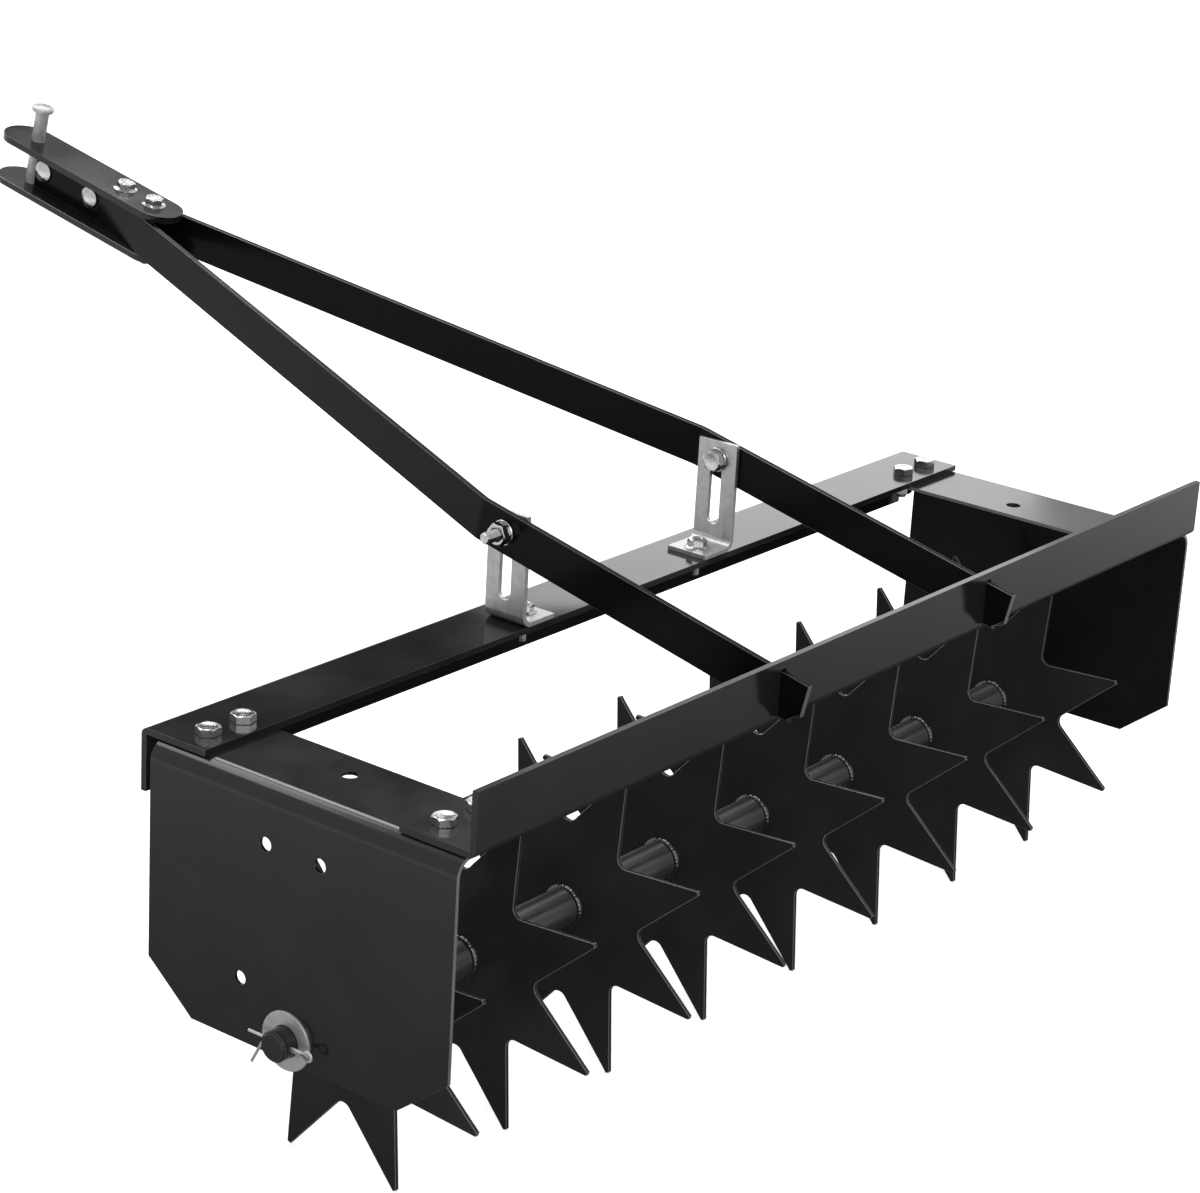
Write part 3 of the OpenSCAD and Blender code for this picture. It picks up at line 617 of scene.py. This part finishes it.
BAR_H, HITCH_T = 35, 6
HITCH_FACE = BAR_H / 2 + HITCH_T
PIN_REACH, PIN_RAISE, PIN_BELOW = 713, 28, 8
PIN_R, PIN_HEAD_R, PIN_HEAD_T = 6.35, 10, 5
pin_tip, pin_top = -HITCH_FACE - PIN_BELOW, HITCH_FACE + PIN_RAISE + PIN_HEAD_T
pin_profile = [
    (0, pin_tip), (3.9, pin_tip), (4.6, pin_tip + 0.3), (6.1, pin_tip + 2.7),
    (PIN_R, pin_tip + 3.5), (PIN_R, pin_top - 5.2), (6.5, pin_top - 4.7), (6.9, pin_top - 4.4),
    (9.2, pin_top - 4.4), (9.85, pin_top - 3.9), (PIN_HEAD_R, pin_top - 3.1),
    (PIN_HEAD_R, pin_top - 1.3), (9.7, pin_top - 0.5), (8.9, pin_top - 0.1), (0, pin_top),
]
pin = turn(pin_profile)
pin_place = drawbar @ Matrix.Translation((0, PIN_REACH * MM, 0))
bmesh.ops.transform(pin, matrix=pin_place, verts=pin.verts)
piece(pin, "hitch_pin_zinc", "hitch_pin", drawn_zinc, ["hitch_pin"], sharp=40)
print("hitch pin:", pin_top - pin_tip, "mm long")

# %% [markdown]
# ## Hexagon heads and nuts
#
# A bolt head starts as a round blank with a coned top, and six flats are then pressed into it.
# Where a flat cuts the cone it leaves the curved chamfer line of a real bolt. The helper does the
# same: it turns the blank, then pulls every outer point in to the hexagon, and slides it down the
# cone by as much as it still stands out past the turned circle.

# %% Helpers for hexagon heads and nuts
CONE = math.tan(math.radians(30))
TURNED_SHARE = 0.955
DISH, HAIR = 0.25, 0.01


def hexagon(flats):
    """The radius of the corners, and of the circle where the cone begins."""
    return flats / 2 / math.cos(math.pi / 6), flats / 2 * TURNED_SHARE


def press_flats(bm, flats, turned, top, foot, both_ends=False):
    for v in bm.verts:
        radius, z = math.hypot(v.co.x, v.co.y) / MM, v.co.z / MM
        if radius <= turned + HAIR or z < foot - HAIR:
            continue
        angle = math.atan2(v.co.y, v.co.x)
        lean = angle % (math.pi / 3) - math.pi / 6
        reach = flats / 2 / math.cos(lean)
        drop = (reach - turned) * CONE
        if z > (top + foot) / 2:
            z = top - drop
        elif both_ends:
            z = foot + drop
        grow = reach / radius
        v.co = Vector((v.co.x * grow, v.co.y * grow, z * MM))


def hex_head(flats, height, flange=0.0):
    corner, turned = hexagon(flats)
    foot = 1.7 if flange else 0.45
    seat = [(flange, 0.7), (flange, 0.0)] if flange else [(turned, foot), (turned, 0.0)]
    profile = [
        (0, height - DISH), (turned * 0.62, height - DISH), (turned * 0.70, height),
        (turned, height),
        (corner, height - (corner - turned) * CONE), (corner, foot), *seat, (0, 0),
    ]
    bm = turn(profile)
    press_flats(bm, flats, turned, height, foot)
    return bm


def hex_nut(flats, height, bore, flange=0.0):
    corner, turned = hexagon(flats)
    drop = (corner - turned) * CONE
    top = [(bore, height - 0.9), (bore + 0.9, height), (turned, height), (corner, height - drop)]
    if flange:
        foot = 1.9
        low = [(corner, foot), (flange, 0.8), (flange, 0.0), (bore + 0.8, 0.0), (bore, 0.8)]
    else:
        foot = 0.0
        low = [(corner, drop), (turned, 0.0), (bore + 0.9, 0.0), (bore, 0.9)]
    bm = turn(top + low, ring=True)
    press_flats(bm, flats, turned, height, foot, not flange)
    return bm


# %% [markdown]
# ## Threads
#
# The end of a bolt that stands out of its nut shows its thread. One zigzag line, a tooth for each
# pitch, is spun once round while it also climbs by one pitch, so every tooth meets the one above
# it. After welding them, two cuts square off the ends, the cuts are filled, and the last
# millimetre is tapered.

# %% Helper that cuts a thread
THREAD_DEPTH = 0.61


def threaded(diameter, pitch, length):
    """A threaded rod that stands on z = 0 and points up, with its tapered end at the top."""
    bm = bmesh.new()
    crest, root = diameter / 2 - 0.02, diameter / 2 - THREAD_DEPTH * pitch
    steps = 24
    line = []
    for tooth in range(-2, int(length / pitch) + 2):
        z = tooth * pitch
        line += [(root, z), (root, z + 0.12 * pitch)]
        line += [(crest, z + 0.5 * pitch), (crest, z + 0.62 * pitch)]
    verts = [bm.verts.new((r * MM, 0, z * MM)) for r, z in line]
    edges = [bm.edges.new(pair) for pair in zip(verts, verts[1:])]
    bmesh.ops.spin(
        bm, geom=verts + edges, cent=(0, 0, 0), axis=(0, 0, 1), dvec=(0, 0, pitch * MM / steps),
        angle=2 * math.pi, steps=steps,
    )
    bmesh.ops.remove_doubles(bm, verts=bm.verts, dist=WELD_WITHIN)
    for height, outwards in ((0, -1), (length * MM, 1)):
        everything = bm.verts[:] + bm.edges[:] + bm.faces[:]
        cut = bmesh.ops.bisect_plane(
            bm, geom=everything, dist=1e-7, plane_co=(0, 0, height), plane_no=(0, 0, outwards),
            clear_outer=True,
        )
        rim = [e for e in cut["geom_cut"] if isinstance(e, bmesh.types.BMEdge)]
        bmesh.ops.holes_fill(bm, edges=rim, sides=0)
    for v in bm.verts:
        radius = math.hypot(v.co.x, v.co.y) / MM
        limit = root - 0.3 + (length - v.co.z / MM)
        if radius > limit:
            v.co.x *= limit / radius
            v.co.y *= limit / radius
    bmesh.ops.recalc_face_normals(bm, faces=bm.faces)
    return bm


upside_down = Matrix.Rotation(math.pi, 4, "X")


def joined(*parts):
    """One bmesh from several (bmesh, matrix) pairs."""
    whole = bmesh.new()
    for bm, place in parts:
        bmesh.ops.transform(bm, matrix=place, verts=bm.verts)
        step = bpy.data.meshes.new("step")
        bm.to_mesh(step)
        bm.free()
        whole.from_mesh(step)
        bpy.data.meshes.remove(step)
    return whole


def bolt(head, diameter, pitch, length, thread):
    """Head up at z = 0, plain shank below it, and thread mm of thread at the tip."""
    plain = length - thread + 0.5
    shank_r = diameter / 2 - THREAD_DEPTH * pitch - 0.1
    shank = turn([(0, 0.1), (shank_r, 0.1), (shank_r, -plain), (0, -plain)], 32)
    unturned = Matrix.Identity(4)
    flip = Matrix.Translation((0, 0, -(length - thread) * MM)) @ upside_down
    return joined((head, unturned), (shank, unturned), (threaded(diameter, pitch, thread), flip))


# %% [markdown]
# ## Corner bolts, their washers and nuts
#
# Two bolts at each end of each angle clamp it to an end plate: a 17 mm head on the angle, and a
# washer and nut under the plate's flange. Nobody lines bolt heads up, so each is turned by its
# own angle. Their places are measured from the ends and the free edges of the two angles. The
# sizes of all the machine's bolts are named here, as big, small and flanged.

# %% Corner fasteners
BIG_D, BIG_AF, BIG_PITCH, BIG_HEAD, BIG_NUT = 10, 17, 1.5, 6.6, 8
SMALL_D, SMALL_AF, SMALL_PITCH, SMALL_NUT, SMALL_FLANGE_R = 8, 13, 1.25, 6.4, 9
FLANGED_AF, FLANGED_HEAD, FLANGE_R = 15, 7.0, 10.8
BOLT_TAIL, THREAD_PLAY, BOLT_PLAY = 4, 0.1, 0.3
BIG_BORE, SMALL_BORE = BIG_D / 2 + THREAD_PLAY, SMALL_D / 2 + THREAD_PLAY
WASHER_BORE, WASHER_R, WASHER_T = BIG_D / 2 + BOLT_PLAY, 10.5, 2
SHEET_T, ANGLE_T = 3, 5
BOLT_EDGE, BOLT_END, BOLT_PAIR = 20, 24, 36
BIG_ROUNDING, SMALL_ROUNDING = 0.22, 0.20
CORNER_TURNS = (8, 14, 40, -12, 20, 3, 33, 50)

angle_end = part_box("front_angle")[1].x / MM
outer_x, inner_x = angle_end - BOLT_END, angle_end - BOLT_END - BOLT_PAIR
front_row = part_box("front_angle")[0].y + BOLT_EDGE * MM
rear_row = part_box("rear_angle")[1].y - BOLT_EDGE * MM
corner_spots = [
    Vector((x * MM, y, 0))
    for y in (front_row, rear_row)
    for x in (-outer_x, -inner_x, inner_x, outer_x)
]


def zinc_piece(bm, node, body, rounding=0.0):
    """Bright zinc hardware in place of its node; turned parts need no more rounding."""
    sharp = 22 if rounding else 40
    piece(bm, node + "_zinc", body, bright_zinc, [node], rounding, sharp=sharp)


def upright(spot, z, degrees):
    """A place over this spot at height z, turned by so many degrees."""
    return Matrix.Translation((spot.x, spot.y, z)) @ Matrix.Rotation(math.radians(degrees), 4, "Z")


corner_grip = ANGLE_T + SHEET_T + WASHER_T + BIG_NUT + BOLT_TAIL
corner_bolt = bolt(hex_head(BIG_AF, BIG_HEAD), BIG_D, BIG_PITCH, corner_grip, thread=12)
bolt_places = [upright(s, angle_top, t) for s, t in zip(corner_spots, CORNER_TURNS)]
zinc_piece(at_places(corner_bolt, bolt_places), "corner_bolts", "frame", BIG_ROUNDING)

under_plate = plate_top - SHEET_T * MM
washer_places = [upright(s, under_plate - WASHER_T * MM, 0) for s in corner_spots]
corner_washers = at_places(washer(WASHER_BORE, WASHER_R, WASHER_T), washer_places)
zinc_piece(corner_washers, "corner_washers", "frame")

nut_z = under_plate - (WASHER_T + BIG_NUT) * MM
nut_places = [upright(s, nut_z, 25 - 2 * t) for s, t in zip(corner_spots, CORNER_TURNS)]
corner_nuts = at_places(hex_nut(BIG_AF, BIG_NUT, BIG_BORE), nut_places)
zinc_piece(corner_nuts, "corner_nuts", "frame", BIG_ROUNDING)
print("corner bolts:", len(corner_spots))

# %% [markdown]
# ## Bracket bolts
#
# A flanged bolt holds the foot of each bracket to the front angle, with a flanged nut below and
# a good length of thread under that, which the photograph shows below the angle. A long bolt goes
# through the bracket's slot and the bar, head inside, nut outside, and lets the drawbar be set
# higher or lower. Its thread stands well out of the nut.

# %% Foot bolts and adjusting bolts
BRACKET_T, FOOT_HOLE_IN, FOOT_TAIL = 4, 25, 10
bracket_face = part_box("bracket_right")[1].x / MM
foot_x = bracket_face - FOOT_HOLE_IN
foot_spots = [Vector((x * MM, middle("bracket_right").y, 0)) for x in (-foot_x, foot_x)]
foot_grip = BRACKET_T + ANGLE_T + SMALL_NUT + FOOT_TAIL
foot_head = hex_head(FLANGED_AF, FLANGED_HEAD, FLANGE_R)
foot_bolt = bolt(foot_head, SMALL_D, SMALL_PITCH, foot_grip, thread=16)
foot_places = [upright(s, angle_top + BRACKET_T * MM, 12) for s in foot_spots]
zinc_piece(at_places(foot_bolt, foot_places), "foot_bolts", "frame", SMALL_ROUNDING)

foot_nut_places = [upright(s, plate_top, 33) @ upside_down for s in foot_spots]
foot_nuts = at_places(hex_nut(SMALL_AF, SMALL_NUT, SMALL_BORE, SMALL_FLANGE_R), foot_nut_places)
zinc_piece(foot_nuts, "foot_nuts", "frame", SMALL_ROUNDING)

BAR_T, SLIDE_PLAY, STUD_END = 5, 0.35, 14
bar_face = bracket_face + SLIDE_PLAY + BAR_T
head_x = bracket_face - BRACKET_T - SLIDE_PLAY - WASHER_T
slot_length = bar_face + WASHER_T + BIG_NUT + STUD_END - head_x


def on_slot(x, side, degrees=0.0, outward=False):
    """A place on the adjusting bolt's axis, Z pointing inwards, or outwards on request."""
    quarter = math.radians(90 if outward else -90) * side
    spin = Matrix.Rotation(math.radians(degrees), 4, "Z")
    place = Matrix.Translation((side * x * MM, slot_axis.y, slot_axis.z))
    return place @ Matrix.Rotation(quarter, 4, "Y") @ spin


slot_bolt = bolt(hex_head(BIG_AF, BIG_HEAD), BIG_D, BIG_PITCH, slot_length, thread=24)
slot_bolts = at_places(slot_bolt, [on_slot(head_x, 1, 18), on_slot(head_x, -1, 40)])
zinc_piece(slot_bolts, "slot_bolts", "drawbar", BIG_ROUNDING)

inner_places = [on_slot(head_x + WASHER_T, s) for s in (1, -1)]
outer_places = [on_slot(bar_face, s, 0, True) for s in (1, -1)]
slot_washers = at_places(washer(WASHER_BORE, WASHER_R, WASHER_T), inner_places + outer_places)
zinc_piece(slot_washers, "slot_washers", "drawbar")

slot_nut_places = [on_slot(bar_face + WASHER_T, s, 25, True) for s in (1, -1)]
slot_nuts = at_places(hex_nut(BIG_AF, BIG_NUT, BIG_BORE), slot_nut_places)
zinc_piece(slot_nuts, "slot_nuts", "drawbar", BIG_ROUNDING)
print("adjusting bolts at z =", round(slot_axis.z / MM, 1), "mm")

# %% [markdown]
# ## Hitch bolts
#
# Two flanged bolts go down through both hitch plates, and two round-headed bolts go across
# through both bars. The round head is a shallow dome with a short straight rim, so its profile is
# an arc of a large circle.

# %% Clamp bolts and cross bolts
CLAMP_FIRST, CLAMP_GAP, CLAMP_TURNS = 117, 37, (10, 38)
CROSS_FIRST, CROSS_GAP = 18, 62
clamp_at = (PIN_REACH - CLAMP_FIRST, PIN_REACH - CLAMP_FIRST - CLAMP_GAP)
cross_at = (PIN_REACH - CROSS_FIRST, PIN_REACH - CROSS_FIRST - CROSS_GAP)


def on_drawbar(x, y, z):
    """A place in the drawbar's own millimetres."""
    return drawbar @ Matrix.Translation((x * MM, y * MM, z * MM))


clamp_length = 2 * HITCH_FACE + SMALL_NUT + BOLT_TAIL
clamp_head = hex_head(FLANGED_AF, FLANGED_HEAD, FLANGE_R)
clamp_bolt = bolt(clamp_head, SMALL_D, SMALL_PITCH, clamp_length, thread=14)
clamp_places = [
    on_drawbar(0, y, HITCH_FACE) @ Matrix.Rotation(math.radians(t), 4, "Z")
    for y, t in zip(clamp_at, CLAMP_TURNS)
]
zinc_piece(at_places(clamp_bolt, clamp_places), "clamp_bolts", "drawbar", SMALL_ROUNDING)

clamp_nut_places = [on_drawbar(0, y, -HITCH_FACE) @ upside_down for y in clamp_at]
clamp_nut = hex_nut(SMALL_AF, SMALL_NUT, SMALL_BORE, SMALL_FLANGE_R)
zinc_piece(at_places(clamp_nut, clamp_nut_places), "clamp_nuts", "drawbar", SMALL_ROUNDING)


def round_head(diameter, crown, rim):
    radius = diameter / 2
    ball = (radius**2 + crown**2) / 2 / crown
    half = math.asin(radius / ball)
    slopes = [half * k / 8 for k in range(8)]
    dome = [(ball * math.sin(a), rim + crown - ball + ball * math.cos(a)) for a in slopes]
    edge = [(radius - 0.35, rim + 0.28), (radius, rim - 0.05), (radius, 0.25), (radius - 0.25, 0)]
    return turn([*dome, *edge, (0, 0)])


cross_length = 2 * BAR_T + SMALL_NUT + BOLT_TAIL
cross_head = round_head(diameter=20, crown=2.4, rim=1.6)
cross_bolt = bolt(cross_head, SMALL_D, SMALL_PITCH, cross_length, thread=10)
quarter_left = Matrix.Rotation(-math.pi / 2, 4, "Y")
cross_places = [on_drawbar(-BAR_T, y, 0) @ quarter_left for y in cross_at]
zinc_piece(at_places(cross_bolt, cross_places), "cross_bolts", "drawbar")

quarter_right = Matrix.Rotation(math.pi / 2, 4, "Y")
cross_nut_places = [on_drawbar(BAR_T, y, 0) @ quarter_right for y in cross_at]
cross_nut = hex_nut(SMALL_AF, SMALL_NUT, SMALL_BORE)
zinc_piece(at_places(cross_nut, cross_nut_places), "cross_nuts", "drawbar", SMALL_ROUNDING)
print("hitch bolts:", len(clamp_at) + len(cross_at))

# %% [markdown]
# ## Cotter pins
#
# A cotter pin is one piece of half-round wire, bent to an eye so that its two flat sides lie
# together and fill a round hole. One leg stays straight and the other is bent down. The middle
# line is worked out in the plane of the pin, and a half-round ring is extruded from point to
# point along it, each time turned to the wire's new heading.

# %% Bend the cotter pins
WIRE = 2.0
COTTER_NECK, COTTER_LEG, COTTER_BENT_LEG, COTTER_BEND = 8, 17, 23, 62


def wire_bend(centre, radius, start, end, steps):
    """Points round a bend, each with the wire's heading in degrees."""
    ahead = 90 if end > start else -90
    angles = [start + (end - start) * k / steps for k in range(steps + 1)]
    return [(centre + polar(radius, math.radians(a)), a + ahead) for a in angles]


def cotter_line():
    pair, eye_r, neck_r, foot_r = WIRE * 0.6, WIRE * 1.9, WIRE * 4, WIRE * 1.5
    back, front = -ROD_R - COTTER_NECK, ROD_R + 1
    eye_back = math.sqrt((eye_r + neck_r) ** 2 - (pair + neck_r) ** 2)
    opening = math.degrees(math.atan2(pair + neck_r, eye_back))
    foot = wire_bend(Vector((front, -pair - foot_r)), foot_r, 90, 90 - COTTER_BEND, 8)
    heel = foot[-1][0]
    return [
        (Vector((front + COTTER_LEG, pair)), 180),
        *wire_bend(Vector((back, pair + neck_r)), neck_r, 270, 180 + opening, 8),
        *wire_bend(Vector((back - eye_back, 0)), eye_r, opening, 360 - opening, 32),
        *wire_bend(Vector((back, -pair - neck_r)), neck_r, 180 - opening, 90, 8),
        *foot,
        (heel + polar(COTTER_BENT_LEG, math.radians(-COTTER_BEND)), -COTTER_BEND),
    ]


def cotter_pin(x):
    bm = bmesh.new()
    places = []
    for point, heading in cotter_line():
        spot = Matrix.Translation((x * MM, axle.y + point.x * MM, axle.z + point.y * MM))
        places.append(spot @ Matrix.Rotation(math.radians(heading), 4, "X"))
    half = WIRE / 2 * MM
    turns = [math.pi * k / 10 for k in range(11)]
    section = [(1.1 * half * math.cos(a), 0, (0.95 - 1.9 * math.sin(a)) * half) for a in turns]
    ring = [bm.verts.new(places[0] @ Vector(p)) for p in section]
    loop = [bm.edges.new((ring[k], ring[(k + 1) % len(ring)])) for k in range(len(ring))]
    bm.faces.new(ring)
    for before, after in zip(places, places[1:]):
        grown = bmesh.ops.extrude_edge_only(bm, edges=loop)["geom"]
        fresh = [g for g in grown if isinstance(g, bmesh.types.BMVert)]
        bmesh.ops.transform(bm, matrix=after @ before.inverted(), verts=fresh)
        loop = [
            g for g in grown
            if isinstance(g, bmesh.types.BMEdge) and all(v in fresh for v in g.verts)
        ]
    bmesh.ops.holes_fill(bm, edges=loop, sides=0)
    bmesh.ops.recalc_face_normals(bm, faces=bm.faces)
    return bm


for name in ("cotter_pin_left", "cotter_pin_right"):
    bent = cotter_pin(middle(name).x / MM)
    wire = piece(bent, name + "_wire", "frame", satin_zinc, [name], sharp=50)
print("cotter wire:", len(wire.data.polygons), "faces")

# %% [markdown]
# ## The floor
#
# The photograph stands on pure white. The floor is a pale, matt surface that also gives off a
# little light of its own where a ray looks at it directly, so it reads as white and still keeps
# the machine's soft shadow. Light Path tells which kind of ray has arrived.
#
# The low end of each black plate is darker than its top, because the floor carries a painted
# shade that only reflections see: the low end mirrors the floor close by, the top the floor further
# off. In reflections the floor is painted dark near the machine and fades to full white two steps
# away.

# %% Floor
FLOOR_HALF = 30


def matt_board(name, half):
    """A square board that faces up at the origin, with its material's tree and shader."""
    mesh = bpy.data.meshes.new(name)
    bm = bmesh.new()
    bmesh.ops.create_grid(bm, x_segments=1, y_segments=1, size=half)
    bm.to_mesh(mesh)
    bm.free()
    board = bpy.data.objects.new(name, mesh)
    bpy.context.scene.collection.objects.link(board)
    material, tree, shader = new_material(name)
    shader.inputs["Roughness"].default_value = 1.0
    mesh.materials.append(material)
    return board, tree, shader


floor, floor_tree, floor_shader = matt_board("pale_floor", FLOOR_HALF)
floor_shader.inputs["Specular IOR Level"].default_value = 0.0
floor_shader.inputs["Emission Color"].default_value = (1, 1, 1, 1)
print("floor:", floor.name)

# %% Painted shade on the floor in reflections
MACHINE_SPOT = (0.30, 0, 0)
FADE_FROM, FADE_TO = 0.75, 1.75
FLOOR_GLOW = 0.60
# The second grey is the painted shade that reflections see on the floor near the machine
PALE, MIRRORED_SHADE_GREY = 0.86, 0.10


def math_node(tree, operation, first, second):
    """The result of a Math node, kept in 0 to 1; each input is a socket or a number."""
    node = tree.nodes.new("ShaderNodeMath")
    node.operation = operation
    node.use_clamp = True
    for k, value in enumerate((first, second)):
        if isinstance(value, (int, float)):
            node.inputs[k].default_value = value
        else:
            tree.links.new(value, node.inputs[k])
    return node.outputs["Value"]


def seen_directly(tree):
    """1 for camera, glossy and transmission rays, 0 for the rest."""
    path = tree.nodes.new("ShaderNodeLightPath")
    seen = math_node(tree, "ADD", path.outputs["Is Camera Ray"], path.outputs["Is Glossy Ray"])
    return math_node(tree, "ADD", seen, path.outputs["Is Transmission Ray"])


place = floor_tree.nodes.new("ShaderNodeTexCoord")
reach = floor_tree.nodes.new("ShaderNodeVectorMath")
reach.operation = "DISTANCE"
reach.inputs[1].default_value = MACHINE_SPOT
floor_tree.links.new(place.outputs["Object"], reach.inputs[0])
shade = floor_tree.nodes.new("ShaderNodeMapRange")
shade.inputs["From Min"].default_value = FADE_FROM
shade.inputs["From Max"].default_value = FADE_TO
floor_tree.links.new(reach.outputs["Value"], shade.inputs["Value"])
far = shade.outputs["Result"]

path = floor_tree.nodes.new("ShaderNodeLightPath")
# Reflections see the floor's glow only far off: a painted shade near the machine
lit = math_node(floor_tree, "MAXIMUM", path.outputs["Is Camera Ray"], far)
seen_lit = math_node(floor_tree, "MULTIPLY", seen_directly(floor_tree), lit)
glow = math_node(floor_tree, "MULTIPLY", seen_lit, FLOOR_GLOW)
floor_tree.links.new(glow, floor_shader.inputs["Emission Strength"])

# Reflections see a dark floor tone near the machine: painted shade
near = math_node(floor_tree, "SUBTRACT", 1.0, far)
painted_shade_in_reflections = math_node(floor_tree, "MULTIPLY", path.outputs["Is Glossy Ray"], near)
tone = floor_tree.nodes.new("ShaderNodeMix")
tone.data_type = "RGBA"
tone.inputs["A"].default_value = (PALE, PALE, PALE, 1)
tone.inputs["B"].default_value = (MIRRORED_SHADE_GREY, MIRRORED_SHADE_GREY, MIRRORED_SHADE_GREY, 1)
floor_tree.links.new(painted_shade_in_reflections, tone.inputs["Factor"])
floor_tree.links.new(tone.outputs["Result"], floor_shader.inputs["Base Color"])
print("floor fades from", FADE_FROM, "to", FADE_TO, "m")

# %% [markdown]
# ## World, lamps and flag
#
# The world is white for the camera and for reflections, which is what the coat and the zinc
# mirror, and a plain grey level for everything else. Six large soft lamps light the machine. The
# overhead and the camera side lamp give the plain level. The front top and the high rear lamp
# draw the light line along the bends, the low rear lamp is the pale sheen on the right-hand
# flanges, and the rim lamp catches the right-hand edges.
#
# A photographer of glossy black things also uses a flag: a black board beside the picture that
# the surfaces mirror. One such board stands behind the machine here. It makes the left plate's
# flange and the left half of the front angle nearly black, while the right half stays light. The
# board is never in the picture, so it is hidden from camera rays.

# %% World and lamps
PLAIN_LEVEL = 0.55

world = bpy.data.worlds.new("white_studio")
bpy.context.scene.world = world
world.use_nodes = True
world_tree = world.node_tree
background = world_tree.nodes["Background"]
background.inputs["Color"].default_value = (1, 1, 1, 1)
level = world_tree.nodes.new("ShaderNodeMapRange")
level.inputs["To Min"].default_value = PLAIN_LEVEL
level.inputs["To Max"].default_value = 1.0
world_tree.links.new(seen_directly(world_tree), level.inputs["Value"])
world_tree.links.new(level.outputs["Result"], background.inputs["Strength"])


def soft_lamp(name, place, target, width, height, watts):
    """A rectangular lamp, sized in metres, that shines from place towards target."""
    data = bpy.data.lights.new(name, "AREA")
    data.shape = "RECTANGLE"
    data.size, data.size_y = width, height
    data.energy = watts
    lamp = bpy.data.objects.new(name, data)
    bpy.context.scene.collection.objects.link(lamp)
    lamp.location = place
    lamp.rotation_euler = (Vector(target) - Vector(place)).to_track_quat("-Z", "Y").to_euler()


soft_lamp("overhead_lamp", (-0.5, 0.3, 3.2), (-0.1, -0.1, 0.3), 0.7, 1.2, 20)
soft_lamp("front_top_lamp", (-0.3, 2.1, 2.85), (-0.4, 0, 0.3), 2.0, 0.8, 28)
soft_lamp("camera_side_lamp", (-2.9, -3.2, 2.2), (0, 0, 0.2), 2.0, 2.0, 46)
soft_lamp("low_rear_lamp", (3.7, 2.6, 1.55), (0, -0.2, 0.3), 2.0, 1.2, 14)
soft_lamp("high_rear_lamp", (1.95, 2.25, 2.95), (-0.3, -0.3, 0.3), 1.4, 1.1, 27)
soft_lamp("right_rim_lamp", (2.9, -1.2, 2.5), (0, -0.3, 0.3), 0.5, 1.5, 14)

# %% Flag
FLAG_SPOT, FLAG_AIM = Vector((1.80, 2.15, 1.47)), Vector((0, 0, 0.3))
FLAG_WIDTH, FLAG_HEIGHT = 1.25, 0.95

flag, _, flag_shader = matt_board("black_flag", 0.5)
flag.matrix_world = (
    Matrix.Translation(FLAG_SPOT)
    @ (FLAG_AIM - FLAG_SPOT).to_track_quat("-Z", "Y").to_matrix().to_4x4()
    @ Matrix.Diagonal((FLAG_WIDTH, FLAG_HEIGHT, 1, 1))
)
flag.visible_camera = False
flag_shader.inputs["Base Color"].default_value = (0.02, 0.02, 0.02, 1)
print("flag:", flag.name, "at", tuple(round(v, 2) for v in FLAG_SPOT))

# %% View settings
bpy.context.scene.view_settings.view_transform = "Standard"
print("view transform:", bpy.context.scene.view_settings.view_transform)
